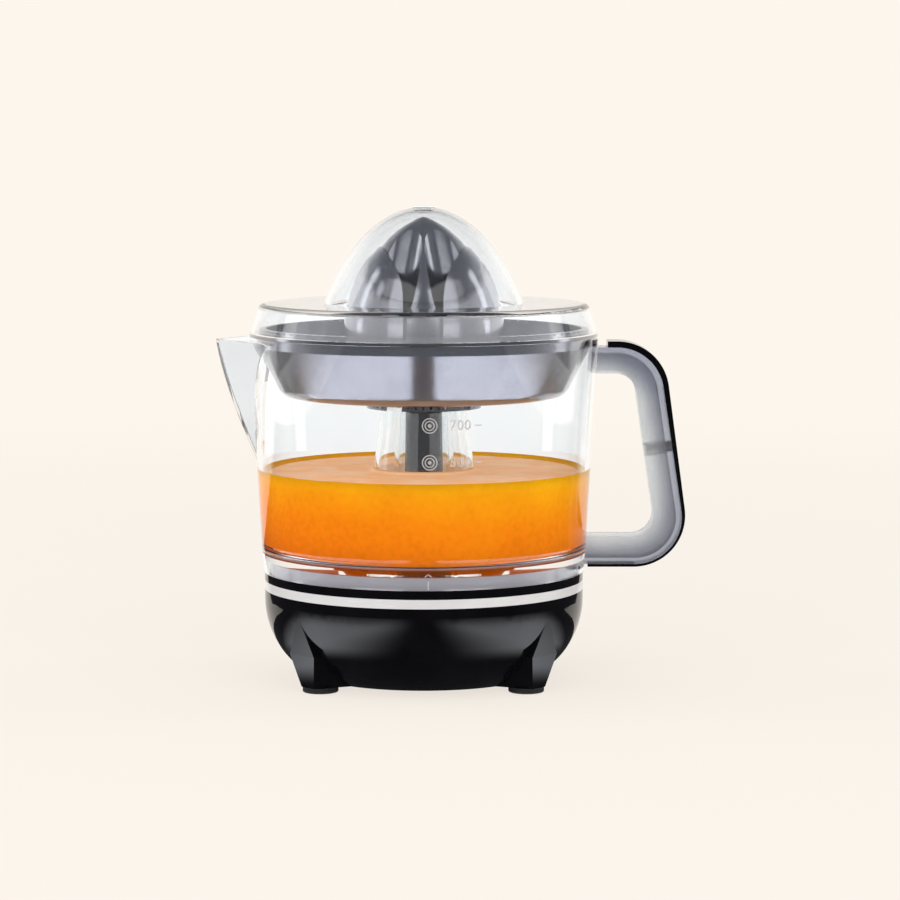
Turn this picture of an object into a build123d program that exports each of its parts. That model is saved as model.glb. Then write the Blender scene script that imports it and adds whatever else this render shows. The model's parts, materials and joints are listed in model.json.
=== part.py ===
"""Citrus press juicer: a clear jug on a motor base, with a strainer, a turning reamer and a domed lid.

Millimetres, +Z up. The spout points to -X and the handle to +X. The pieces are drawn round the reamer's
axis, from table height up. Each one is moved into the shared frame and written to its own file in parts/.
"""

from build123d import *
import os
from math import acos, atan2, cos, degrees, pi, radians, sin, sqrt, tan

os.makedirs("parts", exist_ok=True)

# Clearances
SEAT_GAP = 0.1  # a lift-off piece over its seat
RUN_GAP = 0.05  # radial, a shaft in its bearing or a peg in its hole
SIDE_GAP = 0.4  # a piece beside its neighbour
PRESS_TRAVEL = 2.0  # the reamer's downward stroke that starts the motor

# Base housing
BASE_R = 65.4
BASE_WALL = 2.4
FOOT_H = 2.2  # height of the housing's underside over the table
BOWL_BULGE = 19.4  # of the bowl past its edge on the underside
BOWL_TOP_Z = 34.0  # height where the bowl's curve turns upright
RIM_Z = 45.1  # shoulder that the jug stands on
LEG_ANGLE = 40.0  # from the handle's direction to each leg
LEG_FOOT_OUT = 6.6  # from a pad's centre out to the leg's sloped face
LEG_MID_IN = 1.9  # from the base's outside in to the widest place of a leg's sloped face
LEG_MID_Z = 15.5
LEG_TOP_IN = 0.15  # the same at its top
LEG_TOP_Z = 30.5
LEG_HEEL_IN = 12.0  # from a pad's centre in to the leg's inner end
LEG_FOOT_W = 8.0  # width of the sloped face at the foot
LEG_MID_W = 15.7
LEG_TOP_W = 1.0
LEG_HEEL_W = 19.0  # width of a leg at its inner end
TRIM_Z = 37.9
TRIM_H = 3.7
TRIM_T = 1.2
LEDGE_W = 8.0  # width of the ledge that carries the top cover
LEDGE_T = 2.0
COLLAR_H = 4.9  # rise of the top cover's collar over the shoulder
TOP_WALL = 2.2
PAD_R = 7.2
PAD_GAP = 3.8  # between the bottom cover and a pad
PAD_EDGE = 0.6
PEG_R = 2.5
PEG_H = 4.0

# Bottom cover and its screws
COVER_EDGE = 3.0  # of the housing left round the bottom cover
COVER_T = 2.2
COVER_BOSS_R = 4.5
COVER_BOSS_EDGE = 1.0  # of the cover left outside its screw bosses
COVER_BOSS_H = 11.0
COVER_RIB_W = 4.0
SCREW_R = 1.2
SCREW_HEAD_R = 2.3
SCREW_HEAD_H = 1.4
COVER_SCREW_L = 9.0
TOP_SCREW_COUNT = 4
TOP_BOSS_R = 3.0
VENT_COUNT = 18
VENT_L = 9.0
VENT_W = 1.8
VENT_CENTRE_R = 25.0

# Cord gland in the back of the base
GLAND_Z = 18.0
GLAND_DEPTH = 8.9  # from the base's widest place to the recess that the gland sits in
GLAND_POCKET = 16.0
GLAND_BOSS_R = 8.0
GLAND_WALL = 7.5
GLAND_SHANK_R = 4.6
GLAND_FLANGE_R = 6.4
GLAND_FLANGE_T = 2.2
GLAND_BORE_R = 3.2

# Chassis, gears and motor
PLATE_Z = 22.0
PLATE_T = 2.0
PLATE_GAP = 23.4  # from the plate's edge to the outside of the base
PILLAR_R = 3.6
PILLAR_EDGE = 6.0  # from a pillar's centre to the plate's edge
PILLAR_ANGLES = (90.0, 190.0, 10.0)
GEAR_T = 6.0
STAGE_GAP = 1.0
PRESSURE_ANGLE = 20.0
BACKLASH = 0.16  # taken off each tooth at the pitch circle
OUTPUT_TEETH = 44
IDLER_SMALL_TEETH = 14
OUTPUT_MODULE = 1.0
IDLER_LARGE_TEETH = 40
PINION_TEETH = 12
MOTOR_MODULE = 0.8
IDLER_PIN_R = 2.0
MOTOR_INNER_GAP = 0.5  # between the motor and the plunger's flange
MOTOR_OUTER_GAP = 19.9  # from the motor's can to the outside of the base
MOTOR_CAN_WALL = 1.2
MOTOR_CAN_H = 16.0
MOTOR_EAR_W = 7.0
MOTOR_EAR_T = 1.6
COIL_GAP = 0.6  # between the can and the coil
COIL_T = 4.8
ROTOR_GAP = 0.6  # between the coil and the rotor
ROTOR_H = 10.0
MOTOR_SHAFT_R = 1.5

# Spindle, its bearing, spring and switch
SPINDLE_R = 4.5
SPINDLE_ENGAGED = 18.0  # length of the drive end inside the stem
SPINDLE_HEX = 7.4  # across the flats of the drive end
SPINDLE_HEX_L = 19.0
SPINDLE_COLLAR_R = 7.0
SPINDLE_COLLAR_T = 1.5
SPINDLE_FLAT = 0.8  # depth of the flat that keys the output gear
CLIP_T = 0.8
CLIP_R = 7.0
CLIP_GROOVE = 0.5
BUSH_WALL = 3.0
BUSH_FLANGE_R = 9.5
BUSH_FLANGE_T = 1.5
HUB_WALL = 3.5
HUB_RISE = 7.5  # over the top cover
SEAL_T = 3.0
SEAL_R = 9.2
PLUNGER_R = 6.0
PLUNGER_FLANGE_R = 11.0
PLUNGER_FLANGE_T = 2.5
PLUNGER_FLANGE_Z = 16.5
SPRING_R = 4.4  # to the middle of the wire
SPRING_WIRE_R = 0.5
SPRING_TURNS = 5
SPRING_CUP_WALL = 1.6
SPRING_CUP_H = 5.0
SWITCH_L = 20.0
SWITCH_W = 6.4
SWITCH_H = 9.1
SWITCH_START_X = 10.0
CHEEK_L = 3.5  # of the two cheeks that hold the lever's pin
CHEEK_RISE = 1.2  # over the pin's middle
LEVER_T = 0.6
LEVER_W = 4.0
LEVER_PIN_R = 0.6
LEVER_EYE_WALL = 0.6
LEVER_OVERHANG = 1.0  # past the front end of the switch, under the plunger's flange
BUTTON_SHARE = 0.45  # of the way from the lever's pivot to its tip
BUTTON_L = 2.4
BUTTON_W = 2.0
BUTTON_DEPTH = 2.0

# Jug
JUG_H = 96.3
JUG_OVERHANG = 0.5  # of the jug's foot over the base
JUG_RIM_R = 71.4
JUG_WALL = 2.2
JUG_FLOOR_T = 2.0
JUG_FLOOR_FILLET = 5.0
JUG_SKIRT_GAP = 0.7  # round the top cover's collar
POST_GAP = 1.3  # between the post and the strainer bowl
POST_FOOT_R = 25.2
POST_TOP_R = 17.0
POST_BORE_FOOT_R = 12.8
POST_BORE_TOP_R = 9.3
POST_WALL = 1.6
SPOUT_TOP_DROP = 1.6  # of the spout's top under the jug's rim
SPOUT_REACH = 13.9  # of the spout's tip past the jug's rim
SPOUT_HALF_W = 24.0  # where the spout's sides meet the jug at the rim
SPOUT_DEPTH = 50.0
SPOUT_CURVE = 1.4  # 1 is a straight spout, more bends it up
SPOUT_TIP_FILLET = 2.0

# Handle, grip and screw
HANDLE_W = 14.0
HANDLE_WEB = 2.4
HANDLE_SIDE = 2.0
HANDLE_TOP_DROP = 2.2  # of the handle's top under the jug's rim
HANDLE_BOTTOM_RISE = 1.7  # of the handle's underside over the jug's foot
HANDLE_TOP_OUT = 26.0  # from the jug's rim to where the outer line would meet the top line
HANDLE_BOTTOM_OUT = 44.0  # from the jug's foot to where it would meet the bottom line
HANDLE_CORNER_R = 21.0
HANDLE_ARM_TOP = 13.0  # height of the upper arm
HANDLE_ARM_BOTTOM = 12.6
HANDLE_GAP_TOP_OUT = 14.2  # the same two reaches for the finger gap's outer line
HANDLE_GAP_BOTTOM_OUT = 29.4
HANDLE_GAP_CORNER_R = 9.0
GRIP_TOP_T = 2.5
GRIP_BOTTOM_T = 1.1
GRIP_TOP_GAP = 3.6  # from the jug's wall to the grip's upper end
GRIP_BOTTOM_GAP = 1.0
GRIP_BOSS_R = 2.4
HANDLE_BOSS_R = 2.9
HANDLE_BOSS_SHARE = 0.515  # of the way up the handle
HANDLE_SCREW_R = 1.1
HANDLE_SCREW_HEAD_R = 2.0
HANDLE_SCREW_HEAD_H = 1.4
HANDLE_SCREW_RECESS = 2.2

# Strainer bowl
BOWL_WALL = 2.0
FLANGE_T = 1.1
FLANGE_INSET = 0.4  # of the flange's edge inside the jug's rim
BOWL_NECK_GAP = 0.9  # between the bowl's neck and the jug's wall
BOWL_NECK_H = 4.0
BOWL_DEPTH = 24.9  # from the jug's rim to the bowl's underside
BOWL_TAPER = 10.8  # from the bowl's neck in to its floor's edge
BOWL_CORNER_R = 7.0
BOWL_FLOOR_T = 1.8
SLEEVE_WALL = 2.2
SLEEVE_RISE = 21.3  # of the sleeve's top over the bowl's underside
COLLAR_R = 23.5
COLLAR_WALL = 1.6
COLLAR_DROP = 4.7
COLLAR_SLITS = 48
COLLAR_SLIT_W = 0.8
COLLAR_NOTCH_W = 6.0
OUTLET_COUNT = 10
OUTLET_L = 3.4
OUTLET_W = 7.0

# Pulp sieve
SIEVE_WALL = 1.6
SIEVE_FLOOR_T = 1.6
SIEVE_FLOOR_RISE = 4.7  # over the bowl's floor
SIEVE_RIM_T = 1.7
SIEVE_RIM_LIP = 1.3
CHIMNEY_WALL = 1.8
CHIMNEY_DROP = 0.6  # of the chimney's top under the sleeve's top
WALL_SLITS = 60
WALL_SLIT_W = 1.3
WALL_SLIT_L = 8.0
WALL_SLIT_RISE = 1.2  # of the slits over the sieve's floor
RIM_NOTCHES = 90
RIM_NOTCH_W = 1.4
RIM_NOTCH_DEPTH = 0.9
FLOOR_SLITS = 30
FLOOR_SLIT_W = 1.6
FLOOR_SLIT_L = 17.0
FLOOR_SLIT_EDGE = 7.2  # from the slits to the sieve's wall

# Reamer
CORE_BASE_DROP = 61.8  # from the apex to the bottom edges of both cones
CORE_BASE_R = 29.2
CORE_MID_R = 24.1
CORE_MID_DROP = 24.5
CORE_SHOULDER_R = 17.4
CORE_SHOULDER_DROP = 12.6
CORE_NOSE_R = 10.2
CORE_NOSE_DROP = 5.4
CORE_WALL_BASE = 4.6
SCOOP_R = 12.0
SCOOP_DEPTH = 4.3
SCOOP_ANGLE = 24.5  # from the front or back ridge to each hollow
SCOOP_TILT = 25.5
SCOOP_L = 70.0
HUB_R = 11.2
CONE_HUB_RISE = 15.5  # of the hub's underside over the cones' bottom edges
OUTER_BASE_R = 33.3
OUTER_MID_R = 27.4
OUTER_TIP_T = 0.5
OUTER_TIP_DROP = 12.4
CONE_GAP = 0.2
WINDOW_HALF_W = 8.0  # of the opening between the petals, at its narrow part
WINDOW_TOP_HALF_W = 16.6
WINDOW_SILL = 8.0  # height of the ring that joins the petals
STEM_FOOT_GAP = 0.5  # over the hub with the reamer pressed down
STEM_FOOT_R = 8.2
STEM_TOP_R = 7.4
STEM_JOURNAL_DROP = 2.7  # the stem is straight from this far under the bowl
STEM_TENON_R = 6.0
STEM_TENON_L = 14.0
SOCKET_GAP = 0.1  # each side of the hexagon
STEM_BUSH_WALL = 2.3
STEM_BUSH_FLANGE_R = 11.6
STEM_BUSH_FLANGE_T = 1.5
WASHER_R = 11.0
WASHER_T = 1.2
WASHER_GAP = 0.65  # over the bush with the reamer pressed down

# Lid
LID_T = 2.0
LID_INSET = 0.2  # of the lid's skirt inside the jug's rim
LID_TAPER = 4.0  # from the skirt's edge in to where its slope would meet the flange's top
LID_H = 11.8  # from the skirt's edge to the flange's top
LID_CORNER_R = 3.0
DOME_GAP = 2.0  # between the reamer's apex and the dome
DOME_HALF_W = 47.8  # half axes of the dome's ellipse
DOME_HALF_H = 82.0
GATE_R = 4.5
GATE_H = 0.4

# Heights and radii that follow
cover_top = FOOT_H + COVER_T
collar_top = RIM_Z + COLLAR_H
hub_top = collar_top + HUB_RISE
plate_top = PLATE_Z + PLATE_T
base_inner_r = BASE_R - BASE_WALL
bowl_foot_r = BASE_R - BOWL_BULGE
collar_r = base_inner_r - SIDE_GAP
ledge_z = TRIM_Z + TRIM_H / 2
ledge_inner_r = base_inner_r - LEDGE_W
top_screw_r = base_inner_r - LEDGE_W / 2 - TOP_WALL / 2
cover_r = bowl_foot_r - COVER_EDGE
cover_boss_centre_r = cover_r - COVER_BOSS_EDGE - COVER_BOSS_R
pad_centre_r = cover_r + PAD_GAP + PAD_R
leg_foot_r = pad_centre_r + LEG_FOOT_OUT
leg_mid_r = BASE_R - LEG_MID_IN
leg_top_r = BASE_R - LEG_TOP_IN
leg_inner_r = pad_centre_r - LEG_HEEL_IN
gland_face_y = BASE_R - GLAND_DEPTH
plate_r = BASE_R - PLATE_GAP
pillar_centre_r = plate_r - PILLAR_EDGE
motor_can_r = (BASE_R - MOTOR_OUTER_GAP - MOTOR_INNER_GAP - PLUNGER_FLANGE_R) / 2
motor_centre_r = PLUNGER_FLANGE_R + MOTOR_INNER_GAP + motor_can_r
coil_r = motor_can_r - MOTOR_CAN_WALL - COIL_GAP
coil_bore_r = coil_r - COIL_T
rotor_r = coil_bore_r - ROTOR_GAP
jug_foot_z = RIM_Z + SEAT_GAP
jug_rim_z = jug_foot_z + JUG_H
jug_floor_z = collar_top + SIDE_GAP
jug_foot_r = BASE_R + JUG_OVERHANG
jug_slope = (JUG_RIM_R - jug_foot_r) / JUG_H
spout_top_z = jug_rim_z - SPOUT_TOP_DROP
spout_tip_r = JUG_RIM_R + SPOUT_REACH
flange_z = jug_rim_z + SEAT_GAP
flange_top = flange_z + FLANGE_T
flange_r = JUG_RIM_R - FLANGE_INSET
bowl_floor_z = flange_z - BOWL_DEPTH
bowl_neck_z = flange_z - BOWL_NECK_H
bowl_neck_r = JUG_RIM_R - JUG_WALL - BOWL_NECK_GAP
bowl_floor_r = bowl_neck_r - BOWL_TAPER
post_top_z = bowl_floor_z - POST_GAP
sleeve_top_z = bowl_floor_z + SLEEVE_RISE
sieve_floor_z = bowl_floor_z + BOWL_FLOOR_T + SIEVE_FLOOR_RISE
sieve_rim_z = flange_top + SEAT_GAP
lid_z = flange_top + SEAT_GAP
lid_top = lid_z + LID_H
lid_skirt_r = JUG_RIM_R - LID_INSET
lid_top_r = lid_skirt_r - LID_TAPER
bush_flange_z = sleeve_top_z + SEAT_GAP
washer_z = bush_flange_z + STEM_BUSH_FLANGE_T + PRESS_TRAVEL + WASHER_GAP
cone_hub_z = washer_z + WASHER_T + RUN_GAP
cone_base_z = cone_hub_z - CONE_HUB_RISE
apex_z = cone_base_z + CORE_BASE_DROP
dome_top_z = apex_z + DOME_GAP + LID_T
stem_foot_z = hub_top + PRESS_TRAVEL + STEM_FOOT_GAP
stem_journal_z = bowl_floor_z - STEM_JOURNAL_DROP
spindle_top_z = stem_foot_z + SPINDLE_ENGAGED
handle_top_z = jug_rim_z - HANDLE_TOP_DROP
handle_bottom_z = jug_foot_z + HANDLE_BOTTOM_RISE
handle_fall = handle_top_z - handle_bottom_z
handle_boss_z = handle_bottom_z + HANDLE_BOSS_SHARE * handle_fall
handle_top_x = JUG_RIM_R + HANDLE_TOP_OUT
handle_bottom_x = jug_foot_r + HANDLE_BOTTOM_OUT
handle_gap_top_x = JUG_RIM_R + HANDLE_GAP_TOP_OUT
handle_gap_bottom_x = jug_foot_r + HANDLE_GAP_BOTTOM_OUT
handle_lean = (handle_bottom_x - handle_top_x) / handle_fall
handle_reach = handle_bottom_x - HANDLE_CORNER_R * (handle_lean + sqrt(1 + handle_lean**2) - 1)

# The frame's origin lies under the middle of the outline, between the spout's tip and the handle
to_frame = Location(((spout_tip_r - handle_reach) / 2, 0, 0))


def ring_point(radius, angle):
    """Point in plan at a radius and an angle in degrees from the handle's direction."""
    return radius * cos(radians(angle)), radius * sin(radians(angle))


def jug_radius(z, inset=0.0):
    """Radius of the jug's outer wall at a height, less an inset."""
    return jug_foot_r + (z - jug_foot_z) * jug_slope - inset


# Base housing: the bowl's curve stands upright at its top
bowl_rise = BOWL_TOP_Z - FOOT_H
bowl_arc_r = (BOWL_BULGE**2 + bowl_rise**2) / (2 * BOWL_BULGE)
leg_angles = (LEG_ANGLE, 180 - LEG_ANGLE, 180 + LEG_ANGLE, -LEG_ANGLE)
leg_sections = [
    (FOOT_H, leg_foot_r, LEG_FOOT_W),
    (LEG_MID_Z, leg_mid_r, LEG_MID_W),
    (LEG_TOP_Z, leg_top_r, LEG_TOP_W),
]


def bowl_curve(z, inset=0.0):
    """Radius and height of a point on the bowl's curve, drawn inwards by an inset."""
    return BASE_R - bowl_arc_r + sqrt((bowl_arc_r - inset) ** 2 - (BOWL_TOP_Z - z) ** 2), z


with BuildPart() as base_housing:
    with BuildSketch(Plane.XZ):
        with BuildLine():
            ThreePointArc(bowl_curve(FOOT_H), bowl_curve((FOOT_H + BOWL_TOP_Z) / 2), (BASE_R, BOWL_TOP_Z))
            Polyline(
                (BASE_R, BOWL_TOP_Z),
                (BASE_R, TRIM_Z),
                (BASE_R - TRIM_T, TRIM_Z),
                (BASE_R - TRIM_T, TRIM_Z + TRIM_H),
                (BASE_R, TRIM_Z + TRIM_H),
                (BASE_R, RIM_Z),
                (0, RIM_Z),
                (0, FOOT_H),
                bowl_curve(FOOT_H),
            )
        make_face()
    revolve(axis=Axis.Z)
    for angle in leg_angles:
        leg_x = (*ring_point(1, angle), 0)
        for leg_z, reach, width in leg_sections:
            with BuildSketch(Plane((0, 0, leg_z), x_dir=leg_x)):
                with BuildLine():
                    Polyline(
                        (leg_inner_r, -LEG_HEEL_W / 2),
                        (reach, -width / 2),
                        (reach, width / 2),
                        (leg_inner_r, LEG_HEEL_W / 2),
                        close=True,
                    )
                make_face()
        loft(ruled=True)
    with BuildSketch(Plane.XZ):
        with BuildLine():
            ThreePointArc(
                bowl_curve(cover_top, BASE_WALL),
                bowl_curve((cover_top + BOWL_TOP_Z) / 2, BASE_WALL),
                (base_inner_r, BOWL_TOP_Z),
            )
            Polyline(
                (base_inner_r, BOWL_TOP_Z),
                (base_inner_r, ledge_z - LEDGE_T),
                (ledge_inner_r, ledge_z - LEDGE_T),
                (ledge_inner_r, ledge_z),
                (base_inner_r, ledge_z),
                (base_inner_r, RIM_Z),
                (0, RIM_Z),
                (0, FOOT_H),
                (cover_r + SIDE_GAP, FOOT_H),
                (cover_r + SIDE_GAP, cover_top),
                bowl_curve(cover_top, BASE_WALL),
            )
        make_face()
    revolve(axis=Axis.Z, mode=Mode.SUBTRACT)
    boss_z = cover_top + SEAT_GAP
    for angle in leg_angles:
        boss_x, boss_y = ring_point(cover_boss_centre_r, angle)
        with BuildSketch(Plane((boss_x, boss_y, boss_z), x_dir=(*ring_point(1, angle), 0))):
            Circle(COVER_BOSS_R)
            Rectangle(pad_centre_r - cover_boss_centre_r, COVER_RIB_W, align=(Align.MIN, Align.CENTER))
        extrude(amount=COVER_BOSS_H)
        with Locations((boss_x, boss_y, boss_z)):
            Cylinder(
                SCREW_R + RUN_GAP,
                COVER_SCREW_L,
                align=(Align.CENTER, Align.CENTER, Align.MIN),
                mode=Mode.SUBTRACT,
            )
        with Locations((*ring_point(pad_centre_r, angle), FOOT_H)):
            Cylinder(
                PEG_R + RUN_GAP,
                PEG_H + RUN_GAP,
                align=(Align.CENTER, Align.CENTER, Align.MIN),
                mode=Mode.SUBTRACT,
            )
    with BuildSketch(Plane.XY.offset(ledge_z)):
        with PolarLocations(top_screw_r, TOP_SCREW_COUNT, start_angle=45):
            Circle(SCREW_R + RUN_GAP)
    extrude(amount=-LEDGE_T, mode=Mode.SUBTRACT)
    with BuildSketch(Plane.XZ.offset(-gland_face_y)):
        with Locations((0, GLAND_Z)):
            Circle(GLAND_BOSS_R)
    extrude(amount=GLAND_WALL)
    with BuildSketch(Plane.XZ.offset(-gland_face_y)):
        with Locations((0, GLAND_Z)):
            RectangleRounded(GLAND_POCKET, GLAND_POCKET, GLAND_POCKET / 4)
    extrude(amount=-(BASE_R - gland_face_y), mode=Mode.SUBTRACT)
    with BuildSketch(Plane.XZ.offset(-gland_face_y)):
        with Locations((0, GLAND_Z)):
            Circle(GLAND_SHANK_R + RUN_GAP)
    extrude(amount=GLAND_WALL, mode=Mode.SUBTRACT)
base_housing.part.label = "base_housing"
export_step(base_housing.part.moved(to_frame), "parts/base_housing.step")

with BuildPart() as trim_ring:
    with BuildSketch(Plane.XY.offset(TRIM_Z)):
        Circle(BASE_R)
        Circle(BASE_R - TRIM_T, mode=Mode.SUBTRACT)
    extrude(amount=TRIM_H)
trim_ring.part.label = "trim_ring"
export_step(trim_ring.part.moved(to_frame), "parts/trim_ring.step")

with BuildPart() as rubber_feet:
    for angle in leg_angles:
        pad_x, pad_y = ring_point(pad_centre_r, angle)
        with BuildSketch(Plane.XY):
            with Locations((pad_x, pad_y)):
                Circle(PAD_R)
        extrude(amount=FOOT_H)
        with BuildSketch(Plane.XY.offset(FOOT_H)):
            with Locations((pad_x, pad_y)):
                Circle(PEG_R)
        extrude(amount=PEG_H)
    pad_edges = rubber_feet.edges().filter_by(GeomType.CIRCLE).group_by(Axis.Z)[0]
    fillet(pad_edges, radius=PAD_EDGE)
rubber_feet.part.label = "rubber_feet"
export_step(rubber_feet.part.moved(to_frame), "parts/rubber_feet.step")

# Top cover: collar, hub and the pillars that carry the chassis
spindle_bush_r = SPINDLE_R + RUN_GAP + BUSH_WALL
hub_bore_r = spindle_bush_r + RUN_GAP
hub_r = hub_bore_r + HUB_WALL
seal_z = hub_top - SEAL_T
top_plate_z = collar_top - TOP_WALL
idler_z = plate_top + STAGE_GAP
output_z = idler_z + GEAR_T + STAGE_GAP + PRESS_TRAVEL
clip_z = output_z + GEAR_T
bush_z = clip_z + CLIP_T + SIDE_GAP

with BuildPart() as top_cover:
    with BuildSketch(Plane.XY.offset(ledge_z)):
        Circle(collar_r)
    extrude(amount=collar_top - ledge_z)
    with BuildSketch(Plane.XY.offset(ledge_z)):
        Circle(collar_r - TOP_WALL)
    extrude(amount=top_plate_z - ledge_z, mode=Mode.SUBTRACT)
    with BuildSketch(Plane.XY.offset(bush_z + BUSH_FLANGE_T)):
        Circle(hub_r)
    extrude(amount=hub_top - bush_z - BUSH_FLANGE_T)
    with BuildSketch(Plane.XY.offset(ledge_z)):
        with PolarLocations(top_screw_r, TOP_SCREW_COUNT, start_angle=45):
            Circle(TOP_BOSS_R)
    extrude(amount=top_plate_z - ledge_z)
    with BuildSketch(Plane.XY.offset(ledge_z)):
        with PolarLocations(top_screw_r, TOP_SCREW_COUNT, start_angle=45):
            Circle(SCREW_R + RUN_GAP)
    extrude(amount=top_plate_z - ledge_z, mode=Mode.SUBTRACT)
    with BuildSketch(Plane.XY.offset(plate_top)):
        with Locations(*[ring_point(pillar_centre_r, angle) for angle in PILLAR_ANGLES]):
            Circle(PILLAR_R)
            Circle(SCREW_R + RUN_GAP, mode=Mode.SUBTRACT)
    extrude(amount=top_plate_z - plate_top)
    with BuildSketch(Plane.XY.offset(bush_z)):
        Circle(hub_bore_r)
    extrude(amount=hub_top - bush_z, mode=Mode.SUBTRACT)
    with BuildSketch(Plane.XY.offset(seal_z)):
        Circle(SEAL_R + RUN_GAP)
    extrude(amount=SEAL_T, mode=Mode.SUBTRACT)
top_cover.part.label = "top_cover"
export_step(top_cover.part.moved(to_frame), "parts/top_cover.step")

with BuildPart() as shaft_seal:
    with BuildSketch(Plane.XY.offset(seal_z)):
        Circle(SEAL_R)
        Circle(SPINDLE_R + RUN_GAP, mode=Mode.SUBTRACT)
    extrude(amount=SEAL_T)
    lip_edges = shaft_seal.edges().filter_by(GeomType.CIRCLE).group_by(Axis.Z)[-1].sort_by(SortBy.RADIUS)
    chamfer(lip_edges[0], length=SEAL_T / 3)
shaft_seal.part.label = "shaft_seal"
export_step(shaft_seal.part.moved(to_frame), "parts/shaft_seal.step")

with BuildPart() as spindle_bush:
    with BuildSketch(Plane.XY.offset(bush_z)):
        Circle(BUSH_FLANGE_R)
    extrude(amount=BUSH_FLANGE_T)
    with BuildSketch(Plane.XY.offset(bush_z + BUSH_FLANGE_T)):
        Circle(spindle_bush_r)
    extrude(amount=seal_z - bush_z - BUSH_FLANGE_T)
    with BuildSketch(Plane.XY.offset(bush_z)):
        Circle(SPINDLE_R + RUN_GAP)
    extrude(amount=seal_z - bush_z, mode=Mode.SUBTRACT)
spindle_bush.part.label = "spindle_bush"
export_step(spindle_bush.part.moved(to_frame), "parts/spindle_bush.step")

# Bottom cover: spring cup, vents and countersunk screw holes
spring_cup_r = SPRING_R + SPRING_WIRE_R + SIDE_GAP

with BuildPart() as bottom_cover:
    with BuildSketch(Plane.XY.offset(FOOT_H)):
        Circle(cover_r)
        with PolarLocations(VENT_CENTRE_R, VENT_COUNT):
            SlotOverall(VENT_L, VENT_W, mode=Mode.SUBTRACT)
        with Locations(*[ring_point(cover_boss_centre_r, angle) for angle in leg_angles]):
            Circle(SCREW_R + RUN_GAP, mode=Mode.SUBTRACT)
    extrude(amount=COVER_T)
    with BuildSketch(Plane.XY.offset(FOOT_H)):
        with Locations(*[ring_point(cover_boss_centre_r, angle) for angle in leg_angles]):
            Circle(SCREW_HEAD_R + RUN_GAP)
    extrude(amount=SCREW_HEAD_H, mode=Mode.SUBTRACT)
    with BuildSketch(Plane.XY.offset(cover_top)):
        Circle(spring_cup_r + SPRING_CUP_WALL)
        Circle(spring_cup_r, mode=Mode.SUBTRACT)
    extrude(amount=SPRING_CUP_H)
bottom_cover.part.label = "bottom_cover"
export_step(bottom_cover.part.moved(to_frame), "parts/bottom_cover.step")

with BuildPart() as cover_screws:
    for angle in leg_angles:
        with BuildSketch(Plane.XY.offset(FOOT_H)):
            with Locations(ring_point(cover_boss_centre_r, angle)):
                Circle(SCREW_HEAD_R)
        extrude(amount=SCREW_HEAD_H)
        with BuildSketch(Plane.XY.offset(FOOT_H + SCREW_HEAD_H)):
            with Locations(ring_point(cover_boss_centre_r, angle)):
                Circle(SCREW_R)
        extrude(amount=COVER_SCREW_L)
cover_screws.part.label = "cover_screws"
export_step(cover_screws.part.moved(to_frame), "parts/cover_screws.step")

with BuildPart() as top_screws:
    with BuildSketch(Plane.XY.offset(ledge_z - LEDGE_T)):
        with PolarLocations(top_screw_r, TOP_SCREW_COUNT, start_angle=45):
            Circle(SCREW_HEAD_R)
    extrude(amount=-SCREW_HEAD_H)
    with BuildSketch(Plane.XY.offset(ledge_z - LEDGE_T)):
        with PolarLocations(top_screw_r, TOP_SCREW_COUNT, start_angle=45):
            Circle(SCREW_R)
    extrude(amount=top_plate_z - ledge_z + LEDGE_T - SIDE_GAP)
top_screws.part.label = "top_screws"
export_step(top_screws.part.moved(to_frame), "parts/top_screws.step")

with BuildPart() as cord_gland:
    with BuildSketch(Plane.XZ.offset(-gland_face_y)):
        with Locations((0, GLAND_Z)):
            Circle(GLAND_SHANK_R)
    extrude(amount=GLAND_WALL + GLAND_FLANGE_T)
    with BuildSketch(Plane.XZ.offset(-gland_face_y)):
        with Locations((0, GLAND_Z)):
            Circle(GLAND_FLANGE_R)
    extrude(amount=-GLAND_FLANGE_T)
    with BuildSketch(Plane.XZ.offset(GLAND_WALL - gland_face_y)):
        with Locations((0, GLAND_Z)):
            Circle(GLAND_FLANGE_R)
    extrude(amount=GLAND_FLANGE_T)
    with BuildSketch(Plane.XZ.offset(-gland_face_y - GLAND_FLANGE_T)):
        with Locations((0, GLAND_Z)):
            Circle(GLAND_BORE_R)
    extrude(amount=GLAND_WALL + 2 * GLAND_FLANGE_T, mode=Mode.SUBTRACT)
cord_gland.part.label = "cord_gland"
export_step(cord_gland.part.moved(to_frame), "parts/cord_gland.step")

# Gear train: the idler's place follows from the two centre distances
output_pitch_r = OUTPUT_TEETH * OUTPUT_MODULE / 2
idler_small_r = IDLER_SMALL_TEETH * OUTPUT_MODULE / 2
idler_large_r = IDLER_LARGE_TEETH * MOTOR_MODULE / 2
pinion_r = PINION_TEETH * MOTOR_MODULE / 2
output_centres = output_pitch_r + idler_small_r
motor_centres = idler_large_r + pinion_r
motor_angle = -90.0
idler_swing = degrees(
    acos((output_centres**2 + motor_centre_r**2 - motor_centres**2) / (2 * output_centres * motor_centre_r))
)
idler_angle = motor_angle + idler_swing
motor_x, motor_y = ring_point(motor_centre_r, motor_angle)
idler_x, idler_y = ring_point(output_centres, idler_angle)
idler_to_motor = degrees(atan2(motor_y - idler_y, motor_x - idler_x))
small_gear_top = clip_z + STAGE_GAP


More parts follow.
